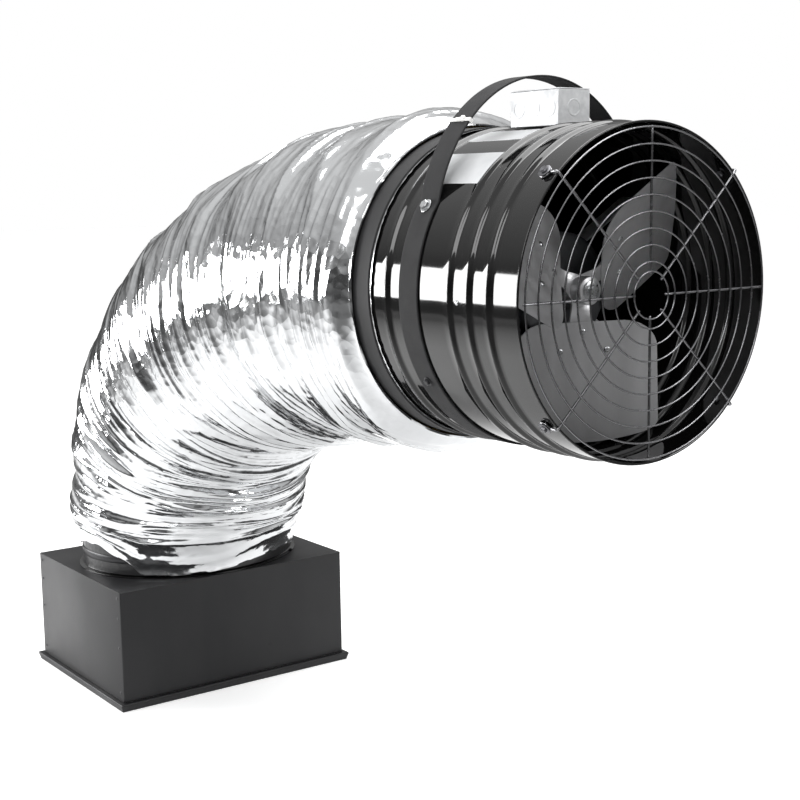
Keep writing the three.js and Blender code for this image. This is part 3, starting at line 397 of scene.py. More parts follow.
galvanised = finish("galvanisedSheet", (0.6, 0.61, 0.62), 0.55, 0.35, second=(0.74, 0.75, 0.76),
                    patch=spots(110), rough=spots(60, 0.45, 0.62))
wire = finish("blackenedWire", (0.28, 0.28, 0.29), 0.24, 1.0, rough=spots(70, 0.18, 0.3))
millSheet = finish("millSheet", (0.5, 0.5, 0.51), 0.34, 0.75, second=(0.6, 0.6, 0.61),
                   patch=spots(26, stretch=9), rough=spots(90, 0.28, 0.44, 8))
motorPaint = finish("motorPaint", (0.045, 0.047, 0.05), 0.4, bump=(mottle, grain, 0.0002, 0.2))
bareSteel = finish("bareSteel", (0.46, 0.46, 0.47), 0.34, 1.0, rough=spots(120, 0.26, 0.42))
darkBolt = finish("darkBolt", (0.03, 0.03, 0.032), 0.35, 0.6)
winding = finish("varnishedCopper", (0.48, 0.19, 0.08), 0.35, 0.8, second=(0.36, 0.13, 0.05),
                 patch=spots(160))
nylon = finish("whiteNylon", (0.82, 0.82, 0.8), 0.38, rough=spots(90, 0.32, 0.45))
rubber = finish("blackRubber", (0.018, 0.018, 0.018), 0.78, rough=spots(90, 0.7, 0.85))
foamSkin = finish("doorFoam", (0.72, 0.72, 0.7), 0.85, second=(0.62, 0.62, 0.6), patch=spots(60),
                  bump=(mottle, spots(420), 0.0006, 0.5))
sealFoam = finish("sealFoam", (0.024, 0.024, 0.024), 0.9, bump=(mottle, spots(700), 0.0005, 0.5))
glassWool = finish("glassWool", (0.8, 0.62, 0.3), 0.95, second=(0.7, 0.52, 0.24), patch=spots(80),
                   bump=(mottle, spots(260), 0.002, 0.8))
palePlate = finish("paleFilm", (0.5, 0.51, 0.52), 0.3, 0.2, second=(0.6, 0.61, 0.62),
                   patch=spots(30))
print("finishes ready")


# ---- camera, floor and light

def addCamera():
    # the camera looks level along +Y, is turned by the azimuth about Z, tipped by the elevation and rolled
    spec = {"place": (-1.2323, -2.4218, 0.9026), "azimuth": -35.63, "elevation": 8.49, "roll": -0.83,
            "lens": 64.63}
    az, el, roll = (math.radians(spec[k]) for k in ("azimuth", "elevation", "roll"))
    level = Vector((math.cos(az), math.sin(az), 0))
    ahead = Vector((-math.sin(az) * math.cos(el), math.cos(az) * math.cos(el), -math.sin(el)))
    over = level.cross(ahead)
    right = math.cos(roll) * level + math.sin(roll) * over
    up = -math.sin(roll) * level + math.cos(roll) * over
    data = bpy.data.cameras.new("camera")
    data.lens, data.sensor_width, data.clip_end = spec["lens"], 36, 100
    camera = addObject("camera", data)
    turned = Matrix((right, up, -ahead)).transposed().to_4x4()
    camera.matrix_world = Matrix.Translation(spec["place"]) @ turned
    scene.camera = camera


floorPool = {"size": 30, "grey": 0.9, "glow": 0.36, "dark": 0.14, "nearby": 0.22, "from": 0.9, "to": 2.3}


def addFloor():
    # white to look at; in what the object mirrors it darkens between two distances from the middle
    mesh = bpy.data.meshes.new("floor")
    far = floorPool["size"]
    mesh.from_pydata([(-far, -far, 0), (far, -far, 0), (far, far, 0), (-far, far, 0)], [], [(0, 1, 2, 3)])
    material = finish("paleFloor", (floorPool["grey"],) * 3, 0.8)
    tree = material.node_tree
    shader, out = shaderOf(material), tree.nodes["Material Output"]
    setInputs(shader, {"Emission Color": (1, 1, 1, 1), "Emission Strength": floorPool["glow"]})
    place, ray = addNode(tree, "TexCoord"), addNode(tree, "LightPath")
    length, share = addNode(tree, "VectorMath", operation="LENGTH"), addNode(tree, "Math", operation="MULTIPLY")
    away = addNode(tree, "MapRange", {"From Min": floorPool["from"], "From Max": floorPool["to"],
                                      "To Min": floorPool["nearby"]})
    either = addNode(tree, "MixShader")
    dark = addNode(tree, "BsdfDiffuse", {"Color": (*(floorPool["dark"],) * 3, 1)})
    joinSockets(tree, [(place, "Object", length, 0), (away, 0, share, 0),
                       (length, "Value", away, "Value"), (ray, "Is Glossy Ray", share, 1),
                       (share, 0, either, 0), (shader, 0, either, 1),
                       (dark, 0, either, 2), (either, 0, out, "Surface")])
    mesh.materials.append(material)
    addObject("floor", mesh)


def addSoftBox(name, place, target, size, power):
    data = bpy.data.lights.new(name, "AREA")
    data.shape, data.size, data.size_y, data.energy = "RECTANGLE", size[0], size[1], power
    lamp = addObject(name, data)
    lamp.location = place
    lamp.rotation_euler = (Vector(target) - Vector(place)).to_track_quat("-Z", "Y").to_euler()
    lamp.visible_camera = False


light = {"sky": ((0.0, 0.05), (0.1, 0.08), (0.28, 0.42), (0.7, 0.85)),  # (height of the ray, grey)
         "strip": {"place": (-2.24, 2.14, 0.89), "target": (0, -1.03, 0.8), "size": (2.4, 1.0), "power": 120},
         "key": {"place": (-3.6, -2.6, 3.2), "target": (0, -0.5, 0.5), "size": (2.0, 2.0), "power": 60},
         "top": {"place": (0.4, -0.4, 4.0), "target": (0, -0.6, 0.5), "size": (3.0, 3.0), "power": 150},
         "fill": {"place": (2.2, -4.6, 2.6), "target": (0, -1.1, 0.8), "size": (1.2, 1.2), "power": 40}}


def addSky():
    # white to look at; the object mirrors a dark band round the horizon under a pale ceiling
    world = bpy.data.worlds.new("studio")
    scene.world = world
    world.use_nodes = True
    tree = world.node_tree
    tree.nodes.clear()
    white, ceiling = addNode(tree, "Background", {"Color": (1, 1, 1, 1)}), addNode(tree, "Background")
    place, split = addNode(tree, "TexCoord"), addNode(tree, "SeparateXYZ")
    ramp, ray = addNode(tree, "ValToRGB"), addNode(tree, "LightPath")
    while len(ramp.color_ramp.elements) < len(light["sky"]):
        ramp.color_ramp.elements.new(0.5)
    for element, (height, grey) in zip(ramp.color_ramp.elements, light["sky"]):
        element.position, element.color = height, (grey, grey, grey, 1)
    either, out = addNode(tree, "MixShader"), addNode(tree, "OutputWorld")
    joinSockets(tree, [(place, "Generated", split, 0), (split, "Z", ramp, 0),
                       (ramp, 0, ceiling, "Color"), (ceiling, 0, either, 1),
                       (ray, "Is Camera Ray", either, 0), (white, 0, either, 2),
                       (either, 0, out, "Surface")])


scene.view_settings.view_transform = "Standard"
addCamera()
addFloor()
addSky()
for lampName in ("strip", "key", "top", "fill"):
    addSoftBox(lampName, **light[lampName])
print("camera, floor and light ready")


# ---- damper box

def diskRow(name, centres, axis, rings, material, sides=24):
    addPiece(name, joinMeshes(name, [gridMesh(name, stackPoints(rings, centre, axis, sides), capped=True)
                                     for centre in centres]), material)


box = {"halfLength": 0.2285, "halfWidth": 0.181, "rivetSides": (-0.169, 0.169),
       "rivetLevels": (0.03, 0.111, 0.164, 0.2), "dimple": (0.07, 0.0614)}
softenedCopy("damper_box", boxPaint, 0.0009, name="boxShell")
softenedCopy("base_lip", boxPaint, 0.0007, name="boxLip")
rivetDome = [(-0.0006, 0.0024, 0), (0.0003, 0.0024, 0), (0.0007, 0.0018, 0), (0.0009, 0.0009, 0)]
leftRivets = [(-box["halfLength"], y, z) for y in box["rivetSides"] for z in box["rivetLevels"]]
rightRivets = [(box["halfLength"], y, z) for _, y, z in leftRivets]
diskRow("leftRivets", leftRivets, (-1, 0, 0), rivetDome, darkBolt)
diskRow("rightRivets", rightRivets, (1, 0, 0), rivetDome, darkBolt)
diskRow("frontDimple", [(box["dimple"][0], -box["halfWidth"], box["dimple"][1])], (0, -1, 0),
        [(-0.0006, 0.0042, 0), (0.0002, 0.004, 0), (0.0005, 0.0024, 0), (0.0002, 0.001, 0)], boxPaint)
for node in ("seat_frame", "hinge_mullion", "door_stop"):
    softenedCopy(node, galvanised, 0.0003)
for part, material, width in (("pan", galvanised, 0.0003), ("foam", foamSkin, 0.0015)):
    for end in ("front", "rear"):
        softenedCopy(f"door_{part}_{end}", material, width, f"door_{end}")
for end in ("front", "rear"):
    softenedCopy(f"door_seal_{end}", sealFoam, 0.0012)
print("damper box ready")


# ---- oval collar

def ovalRing(halfX, halfY, z, sides=160):
    # x = a cos t, y = b sin t at one height
    angle = np.arange(sides) / sides * turn
    return np.stack([halfX * np.cos(angle), halfY * np.sin(angle), np.full(sides, z)], -1)


collar = {"halfLength": 0.2, "halfWidth": 0.168, "sheet": 0.0012, "foot": 0.2123, "flange": 0.01}


def addCollar():
    # a flange on the box, a 3 mm bend and a straight oval wall, each 1.2 mm thick
    outer = [(collar["flange"], 0.0), (collar["flange"], collar["sheet"]), (0.0035, collar["sheet"]),
             (0.0012, 0.0022), (0.0, 0.0042), (0.0, 0.0597), (-0.0004, 0.06)]
    inner = [(-0.0009, 0.06), (-0.0012, 0.0596), (-0.0012, 0.003), (-0.0008, 0.0008), (0.0008, 0.0)]
    rings = [ovalRing(collar["halfLength"] + grow, collar["halfWidth"] + grow, collar["foot"] + up)
             for grow, up in outer + inner]
    addGrid("collarWall", np.array(rings), gloss, ["oval_collar"], slot="box_paint", alongWraps=True)


addCollar()


# ---- duct

duct = {"start": 0.216, "collarTop": 0.272, "rise": 0.368, "run": 0.385, "level": -0.84, "end": -0.928}


def ductCurve(count=4000):
    # straight up through the collar, a cubic Bezier over the bend, then level to the head; in (y, z), by length
    t = np.linspace(0, 1, count)[:, None]
    a, b = np.array([0, duct["collarTop"]]), np.array([0, duct["collarTop"] + duct["rise"]])
    c = np.array([duct["level"] + duct["run"], head["axisHeight"]])
    d = np.array([duct["level"], head["axisHeight"]])
    path = np.vstack([[[0, duct["start"]]], bezier(a, b, c, d, t), [[duct["end"], head["axisHeight"]]]])
    return path, np.concatenate([[0], np.cumsum(np.hypot(*np.diff(path, axis=0).T))])


ductPath, ductLengths = ductCurve()
ductLength = ductLengths[-1]


def ductPoint(along, angle, halfX, halfN):
    # centre + halfX cos(angle) X + halfN sin(angle) N, where N is square to the path in the plane x = 0
    y, z = (np.interp(along, ductLengths, ductPath[:, k]) for k in (0, 1))
    near = 0.002
    dy, dz = (np.interp(along + near, ductLengths, ductPath[:, k])
              - np.interp(along - near, ductLengths, ductPath[:, k]) for k in (0, 1))
    size = np.hypot(dy, dz)
    dy, dz = dy / size, dz / size
    across = halfN * np.sin(angle)
    return np.stack([halfX * np.cos(angle), y - dz * across, z + dy * across], -1)


jacket = {"hem": 0.016, "lip": 0.034, "rows": 540, "columns": 150, "skin": 0.0016, "oval": (0.2067, 0.1747),
          "low": 0.214, "bend": 0.223, "high": 0.228, "mouth": 0.2126, "sag": 0.007, "lowest": -0.0036,
          "highest": 0.011, "wide": 0.0112, "middle": 0.0046, "narrow": 0.0009, "facets": 0.0038}
hemRise = {"angles": (-180, -150, 0, 33, 55, 73, 92, 118, 138, 145, 154, 166, 179),  # round the collar, degrees
           "rise": (0.0356, 0.012, -0.004, -0.0047, 0.0, -0.0014, -0.012, -0.016, -0.015, 0.0042, 0.0186,
                    0.033, 0.0356)}
jacketEnd = ductLength - jacket["lip"]


def jacketHalf(along):
    # oval over the collar, round and fuller up the bend, drawn in at the mouth over the housing
    opened = ease(jacket["hem"], 0.126, along)
    fuller = mix(mix(jacket["low"], jacket["bend"], ease(0.2, 0.5, along)), jacket["high"],
                 ease(0.5, 0.9, along))
    lipped = mix(fuller, jacket["mouth"], ease(jacketEnd - 0.046, jacketEnd, along) ** 2)
    return [mix(half, lipped, opened) for half in jacket["oval"]]


def hemShift(angle, along):
    # how far the hem is pulled up round the collar; it fades out up the duct
    degrees = (np.degrees(angle) + 180) % 360 - 180
    return np.interp(degrees, hemRise["angles"], hemRise["rise"]) * (1 - ease(jacket["hem"], 0.12, along))


def foldLift(along, around, angle):
    # ridges 1 - |noise|^p drawn out round the duct at three widths, deeper on the inside of the bend, over flat
    # facets of straight lattice noise; both ends fade
    share = (along - jacket["hem"]) / (jacketEnd - jacket["hem"]) + 0 * around
    warp = share + 0.018 * latticeNoise(share, around, 9, 7, 3)
    swing = around + 0.02 * latticeNoise(share, around, 30, 9, 11)
    wide = 1 - np.abs(latticeNoise(warp, swing, 26, 4, 5)) ** 0.8
    middle = 1 - np.abs(latticeNoise(warp, swing, 62, 9, 6)) ** 0.9
    narrow = 1 - np.abs(latticeNoise(warp, swing, 150, 17, 7)) ** 0.9
    facets = latticeNoise(warp, swing, 40, 27, 8, eased=False)
    facets = facets + 0.3 * latticeNoise(warp, swing, 110, 70, 9, eased=False)
    crumpled = 0.35 + 0.65 * latticeNoise(share, around, 12, 9, 12) ** 2
    inner = ease(-0.2, 1.0, np.sin(angle)) * ease(0.15, 0.35, along) * (1 - ease(0.75, 1.0, along))
    fade = ease(jacket["hem"], 0.06, along) * (1 - ease(jacketEnd - 0.035, jacketEnd - 0.004, along))
    lift = jacket["wide"] * (1 + 0.3 * inner) * wide ** 1.3 + jacket["middle"] * (1 + 0.6 * inner) * (middle - 0.5)
    lift = lift + jacket["narrow"] * (narrow - 0.58) + jacket["facets"] * facets * crumpled
    return np.clip(-0.003 * fade + lift * (0.1 + 0.9 * fade), jacket["lowest"], jacket["highest"])


def addJacket():
    # outside: the smooth tube plus its folds and a sag on top; inside: the tube less the skin and the folds' room
    along = np.linspace(jacket["hem"], jacketEnd, jacket["rows"])[:, None]
    around = (np.arange(jacket["columns"]) / jacket["columns"])[None, :] + 0 * along
    angle = around * turn
    halfX, halfN = jacketHalf(along)
    lift = foldLift(along, around, angle)
    sag = ease(0.55, 0.95, along) * (1 - ease(jacketEnd - 0.05, jacketEnd, along))
    sag = jacket["sag"] * sag * np.clip(np.sin(angle), 0, 1) ** 2
    edge = 0.0014 * latticeNoise(0 * around, around, 1, 60, 13)
    edge = edge * (1 - ease(jacket["hem"], 0.05, along) + ease(jacketEnd - 0.02, jacketEnd, along))
    outside = ductPoint(along + hemShift(angle, along) + edge, angle, halfX + lift, halfN + lift + sag)
    back = np.linspace(jacketEnd, jacket["hem"], 60)[:, None]
    backX, backN = jacketHalf(back)
    room = ease(jacket["hem"], 0.056, back) * (1 - ease(jacketEnd - 0.03, jacketEnd, back))
    inwards = jacket["skin"] + 0.0025 * room
    inside = ductPoint(back + hemShift(angle[:1], back), angle[:1], backX - inwards, backN - inwards)
    points = np.concatenate([outside, inside])
    addGrid("jacketFoil", points, foil, ["foil_jacket"], sharp=75, alongWraps=True,
            span=(1.4, (jacketEnd - jacket["hem"]) * len(points) / jacket["rows"]))


liner = {"oval": (0.2018, 0.1698), "middle": 0.194, "overShell": 0.2052, "film": 0.001, "sides": 240}


def linerHalf(along):
    # oval on the collar, round along the bend and just over the housing at the head
    opened = ease(0.06, 0.26, along)
    middle = mix(liner["middle"], liner["overShell"], ease(ductLength - 0.263, ductLength - 0.093, along))
    return [mix(half, middle, opened) for half in liner["oval"]]


def addLiner():
    # a smooth film tube 1 mm thick; its front edge is cut by hand, so it wanders by about a millimetre
    along = np.linspace(0, ductLength, 90)[:, None]
    around = (np.arange(liner["sides"]) / liner["sides"])[None, :]
    halfX, halfN = linerHalf(along)
    ragged = np.random.default_rng(21).uniform(-1, 1, liner["sides"])[None, :] * 0.0009
    ragged = ragged + 0.001 * latticeNoise(0 * around, around, 1, 30, 22)
    shift = ragged * (along > ductLength - 0.001)
    wander = np.stack([0 * shift, -shift, 0 * shift], -1)
    outside, inside = (ductPoint(along, around * turn, halfX - film, halfN - film) + wander
                       for film in (0, liner["film"]))
    addGrid("linerTube", np.concatenate([outside, inside[::-1]]), linerFilm, ["duct_liner"], sharp=60,
            alongWraps=True, span=(1.27, 2.36))
    radius = np.array([0.2054, 0.2058, 0.2058, 0.2054])[:, None]
    behind = np.array([0.2855, 0.2855, 0.2822, 0.2822])[:, None]
    addGrid("linerCutEdge", headPoint(radius, around * turn, behind + ragged * (behind < 0.284)), foilEdge,
            sharp=60, alongWraps=True)


def addBlanket():
    # glass wool: its outside follows the jacket's bore and its inside the liner, each about 1 mm off
    along = np.linspace(0.062, ductLength - 0.093, 70)[:, None]
    angle = (np.arange(96) / 96 * turn)[None, :]
    outX, outN = jacketHalf(along)
    inX, inN = linerHalf(along)
    outside = ductPoint(along, angle, outX - 0.0062, outN - 0.0062)
    inside = ductPoint(along[::-1], angle, inX[::-1] + 0.001, inN[::-1] + 0.001)
    addGrid("woolBlanket", np.concatenate([outside, inside]), glassWool, ["duct_insulation"],
            sharp=60, alongWraps=True, span=(1.35, 2.1))


addJacket()
addLiner()
addBlanket()
clamp = {"low": 0.236, "high": 0.248, "inside": (0.2021, 0.1701)}
clampRings = [ovalRing(clamp["inside"][0] + grow, clamp["inside"][1] + grow, z)
              for grow, z in sleeve(clamp["low"], clamp["high"], 0.0002, 0.0011, 0.0014, 0.0004)]
addGrid("collarStrap", np.array(clampRings), darkBolt, ["collar_clamp"], alongWraps=True)
tapeBand = {"from": 0.2856, "to": 0.322, "inner": 0.20535, "outer": 0.2078}
addTurned("tapeBand", sleeve(tapeBand["from"], tapeBand["to"], tapeBand["inner"], tapeBand["outer"] - 0.0005,
                             tapeBand["outer"], 0.0006), 160, bandTape, "head_clamp")
print("duct ready")


# ---- fan housing

housing = {"beads": (0.052, 0.088, 0.124, 0.25), "beadWidth": 0.012, "beadHeight": 0.004, "rim": 0.0016,
           "plateHeight": 0.00045}


def housingOutline():
    # a straight tube with beads of half a cosine and a rolled edge at the front; (radius, behind the rim)
    behind = np.unique(np.concatenate([np.linspace(0.0034, head["length"], 30)]
                                      + [np.linspace(b - 0.006, b + 0.006, 15) for b in housing["beads"]]))
    lift = np.zeros_like(behind)
    for at in housing["beads"]:
        near = np.abs(behind - at) < housing["beadWidth"] / 2
        wave = 0.5 + 0.5 * np.cos(turn * (behind[near] - at) / housing["beadWidth"])
        lift[near] = housing["beadHeight"] * wave ** 0.8
    outer = np.stack([head["radius"] + lift, behind], -1)
    inner = np.stack([head["radius"] - head["sheet"] + lift, behind], -1)[::-1]
    angle = np.linspace(-0.25 * math.pi, 1.15 * math.pi, 11)
    curl = np.stack([head["radius"] - 0.0001 + housing["rim"] * np.sin(angle),
                     housing["rim"] - 0.0015 * np.cos(angle)], -1)
    return np.concatenate([outer, inner, curl])


addTurned("headShell", housingOutline(), 160, gloss, "fan_housing", sharp=50)


def plateOnShell(name, fromAngle, toAngle, fromBehind, toBehind):
    # a thin bare plate that follows the housing
    angle = np.radians(np.linspace(fromAngle, toAngle, 24))[:, None]
    low, high = head["radius"], head["radius"] + housing["plateHeight"]
    ring = np.array([(low, 0), (high, 0), (high, 1), (low, 1)])
    behind = mix(fromBehind, toBehind, ring[:, 1])[None, :]
    addGrid(name, headPoint(ring[None, :, 0], angle, behind), palePlate, capped=True)


plateOnShell("upperPlate", 102.0, 113.5, 0.1335, 0.24)
plateOnShell("lowerPlate", 123.0, 138.7, 0.1325, 0.24)
print("housing ready")


# ---- bolts of the head

def boltRings(gripFrom, gripTo, headRadius, washerRadius):
    # shaft end, nut, shaft, washer and chamfered hexagon head, as one stack of rings along the bolt
    nut, height = 0.003, headRadius * 0.65 + 0.001
    top = gripTo + 0.0005 + height
    return [(gripFrom - nut + 0.0005 - 0.0012, 0.0024, 0), (gripFrom - nut - 0.0004, 0.003, 0),
            (gripFrom - nut, headRadius * 0.86, 1), (gripFrom - nut + 0.0005, headRadius, 1),
            (gripFrom - 0.0001, headRadius, 1), (gripFrom, headRadius * 0.9, 1), (gripFrom, 0.003, 0),
            (gripTo, 0.003, 0), (gripTo, washerRadius - 0.0002, 0), (gripTo + 0.0002, washerRadius, 0),
            (gripTo + 0.0008, washerRadius, 0), (gripTo + 0.001, washerRadius - 0.0003, 0),
            (gripTo + 0.001, headRadius, 1), (top - 0.001, headRadius, 1), (top, headRadius * 0.84, 1),
            (top, headRadius * 0.45, 0)]


def headBolt(name, degrees, behind, grip, headRadius, washerRadius, material):
    angle = math.radians(degrees)
    axis = (math.cos(angle), 0, math.sin(angle))
    points = stackPoints(boltRings(*grip, headRadius, washerRadius), headPoint(0, 0, behind), axis)
    addGrid(name + "Finished", points, material, [name], capped=True)


bolts = {"armPlane": 0.204, "armGrip": (0.1969, 0.206), "guardPlane": 0.02, "guardGrip": (0.2007, 0.2072),
         "strapHead": 0.0065, "smallHead": 0.0046, "guardWasher": 0.0085, "screwPlane": 0.11}
for name, degrees, size, material in (
        ("strap_bolt_right", 31.5, "strapHead", zinc), ("strap_bolt_left", 148.5, "strapHead", zinc),
        ("arm_bolt_left", 211.5, "smallHead", darkBolt), ("arm_bolt_right", 328.5, "smallHead", darkBolt)):
    headBolt(name, degrees, bolts["armPlane"], bolts["armGrip"], bolts[size], bolts[size] * 1.35, material)
for index, degrees in enumerate((45, 135, 225, 315)):
    headBolt(f"guard_bolt_{index + 1}", degrees, bolts["guardPlane"], bolts["guardGrip"], bolts["smallHead"],
             bolts["guardWasher"], dullZinc)
shellScrew = [(-0.0006, 0.003, 0), (0.0006, 0.003, 0), (0.0015, 0.0022, 0), (0.0017, 0.0012, 0)]
for name, degrees in (("shellScrewLeft", 181), ("shellScrewRight", -1)):
    angle = math.radians(degrees)
    place = headPoint(head["radius"], angle, bolts["screwPlane"])
    addGrid(name, stackPoints(shellScrew, place, (math.cos(angle), 0, math.sin(angle))), zinc, capped=True)
print("bolts ready")


# ---- motor

motor = {"middle": 0.204, "radius": 0.072, "can": 0.07, "gap": 0.0003, "band": 0.02}


def bellOutline(front):
    # dished cup with a rounded shoulder and a boss; (radius, behind the rim)
    side = -1 if front else 1
    base = motor["middle"] + side * (motor["can"] / 2 + motor["gap"])
    shoulder = [(motor["radius"] - 0.02 * (1 - math.cos(a)), 0.0165 + 0.007 * math.sin(a))
                for a in np.linspace(0, math.pi / 2, 9)]
    outline = [(0.069, 0.0), (motor["radius"], 0.0), (motor["radius"], 0.015)] + shoulder + [
        (0.03, 0.024), (0.0265, 0.025), (0.0245, 0.027), (0.008, 0.0272), (0.008, 0.0242),
        (0.0178, 0.024), (0.0178, 0.013), (0.0218, 0.013), (0.0218, 0.02), (0.048, 0.02), (0.064, 0.016)]
    return [(r, base + side * h) for r, h in outline]


addTurned("frontBell", bellOutline(True), 96, motorPaint, "motor_front_bell", sharp=50)
addTurned("rearBell", bellOutline(False), 96, motorPaint, "motor_rear_bell", sharp=50)
for name, half, rest, material, node in (
        ("motorCan", motor["can"] / 2, (0.069, 0.0715, motor["radius"], 0.0006), motorPaint, "motor_can"),
        ("motorBand", motor["band"], (0.0724, 0.0739, 0.0743, 0.0005), galvanised, "motor_band")):
    addTurned(name, sleeve(motor["middle"] - half, motor["middle"] + half, *rest), 96, material, node)
for index in range(1, 5):
    softenedCopy(f"motor_arm_{index}", galvanised, 0.0006)
    softenedCopy(f"motor_bush_{index}", rubber, 0.0004)
for node in ("front_bearing", "rear_bearing", "motor_stator", "motor_core", "motor_shaft", "hinge_rod_front",
             "hinge_rod_rear"):
    body = "rotor" if node in ("motor_core", "motor_shaft") else "root"
    softenedCopy(node, winding if node == "motor_stator" else bareSteel, 0.0003, body)
print("motor ready")


# ---- propeller

blade = {"plane": 0.11, "pitch": 30, "halfWidth": 0.078, "camber": 0.007, "root": 0.04, "corner": 0.034,
         "tip": 0.194, "tipCorner": 0.012, "sheet": 0.0016, "angles": (32, 152, 272),
         "rivets": ((0.052, 0.0), (0.076, 0.026), (0.076, -0.026))}  # (along, across)


def bladeDepth(across):
    # the pitch's straight slope plus a crown of camber; distance behind the rim
    return (blade["plane"] - across * math.tan(math.radians(blade["pitch"]))
            + blade["camber"] * (1 - (across / blade["halfWidth"]) ** 2))


def rotorPoint(across, behind, along, degrees):
    # across runs counter-clockwise from the blade's own line, along runs out from the axis
    angle = math.radians(degrees)
    across, behind, along = np.broadcast_arrays(across, behind, along)
    return np.stack([along * math.cos(angle) - across * math.sin(angle), head["rim"] + behind,
                     head["axisHeight"] + along * math.sin(angle) + across * math.cos(angle)], -1)


def leafMesh(name, across, depth, along, sheet, degrees):
    # a front and a back surface over one grid, half a sheet either side of its depth, joined round the edge
    front = rotorPoint(across, depth - sheet / 2, along, degrees)
    back = rotorPoint(across, depth + sheet / 2, along, degrees)
    points = np.concatenate([front, back[:, ::-1]], 1)
    return gridMesh(name, points, capped=True, span=(0.3, 0.15))


def addBlade(index, degrees):
    u, v = np.meshgrid(np.linspace(0, 1, 49), np.linspace(0, 1, 31), indexing="ij")
    across = blade["halfWidth"] * np.sin((v - 0.5) * math.pi)
    past = np.maximum(np.abs(across) - blade["halfWidth"] + blade["corner"], 0)
    root = blade["root"] + blade["corner"] - np.sqrt(blade["corner"] ** 2 - past ** 2)
    corner = blade["tipCorner"]
    past = np.maximum(np.abs(across) - blade["halfWidth"] + corner, 0)
    tip = np.sqrt(blade["tip"] ** 2 - across ** 2) - (corner - np.sqrt(corner ** 2 - past ** 2)) * 0.8
    leaf = leafMesh("bladeLeaf", across, bladeDepth(across), mix(root, tip, u), blade["sheet"], degrees)
    addPiece(f"bladeLeaf{index}", leaf, millSheet, [f"blade_{index}"], "rotor", sharp=50)
    dome = [(-0.0006, 0.004, 0), (0.0003, 0.004, 0), (0.0012, 0.0031, 0), (0.0017, 0.0016, 0)]
    slope = math.tan(math.radians(blade["pitch"]))
    rivets = []
    for along, across in blade["rivets"]:
        lean = slope + 2 * blade["camber"] * across / blade["halfWidth"] ** 2
        side = rotorPoint(1.0, 0, 0, degrees) - rotorPoint(0.0, 0, 0, degrees)
        axis = np.array([0, -1, 0]) - side * lean
        place = rotorPoint(across, bladeDepth(across) - blade["sheet"] / 2, along, degrees)
        rivets.append(gridMesh("rivet", stackPoints(dome, place, axis, 16), capped=True))
    addPiece(f"bladeRivets{index}", joinMeshes("bladeRivets", rivets), zinc, body="rotor")


for index, degrees in enumerate(blade["angles"]):
    addBlade(index + 1, degrees)

spider = {"sheet": 0.0026, "rootHalf": 0.017, "waistHalf": 0.012, "lobeHalf": 0.036, "waist": 0.034,
          "shoulder": 0.078, "end": 0.1, "hub": 0.018, "front": 0.1, "back": 0.136}


def addSpider():
    # three arms, waisted by the hub and widening to a round lobe, that twist from flat to the blade's pitch
    meshes = []
    for degrees in blade["angles"]:
        u, v = np.meshgrid(np.linspace(0, 1, 41), np.linspace(-1, 1, 17), indexing="ij")
        along = mix(0.004, spider["end"], np.sin(u * math.pi / 2) * 0.35 + u * 0.65)
        half = mix(spider["rootHalf"], spider["waistHalf"], ease(0, spider["waist"], along))
        half = mix(half, spider["lobeHalf"], ease(spider["waist"], spider["shoulder"], along))
        lobe = np.maximum(along - spider["shoulder"], 0) / (spider["end"] + 0.002 - spider["shoulder"])
        across = v * (half * np.sqrt(1 - lobe ** 2))
        twist = ease(spider["hub"] - 0.004, blade["root"] - 0.003, along)
        depth = mix(bladeDepth(0.0), bladeDepth(across), twist) + blade["sheet"] / 2 + 0.0003 + spider["sheet"] / 2
        meshes.append(leafMesh("arm", across, depth, along, spider["sheet"] - 0.0002, degrees))
    hub = sleeve(spider["front"], spider["back"], 0.0066, 0.017, spider["hub"], 0.001)
    meshes.append(turnedMesh("hub", hub, 64))
    addPiece("rotorSpider", joinMeshes("rotorSpider", meshes), millSheet, ["hub_spider"], "rotor", sharp=50)


addSpider()
hubRings = [(0.0003, 0.0122, 0), (0.0006, 0.0125, 0), (0.002, 0.0125, 0), (0.0023, 0.0121, 0), (0.0023, 0.006, 1),
            (0.0062, 0.006, 1), (0.007, 0.0052, 1), (0.007, 0.003, 0)]
addGrid("hubCap", stackPoints(hubRings, headPoint(0, 0, spider["front"]), (0, -1, 0), 36), zinc,
        ["hub_bolt"], "rotor", capped=True)
print("propeller ready")


# ---- wire guard

guard = {"ringWire": 0.0011, "spokeWire": 0.0016, "outer": 0.1966, "pitch": 0.0196, "rings": 9, "eye": 0.0283,
         "spokeLevel": -0.0021, "ringLevel": -0.004, "spokeStart": 0.0243, "spokeEnd": 0.1981, "hookBack": 0.02,
         "eyeRadius": 0.007, "eyeLevel": 0.2051}


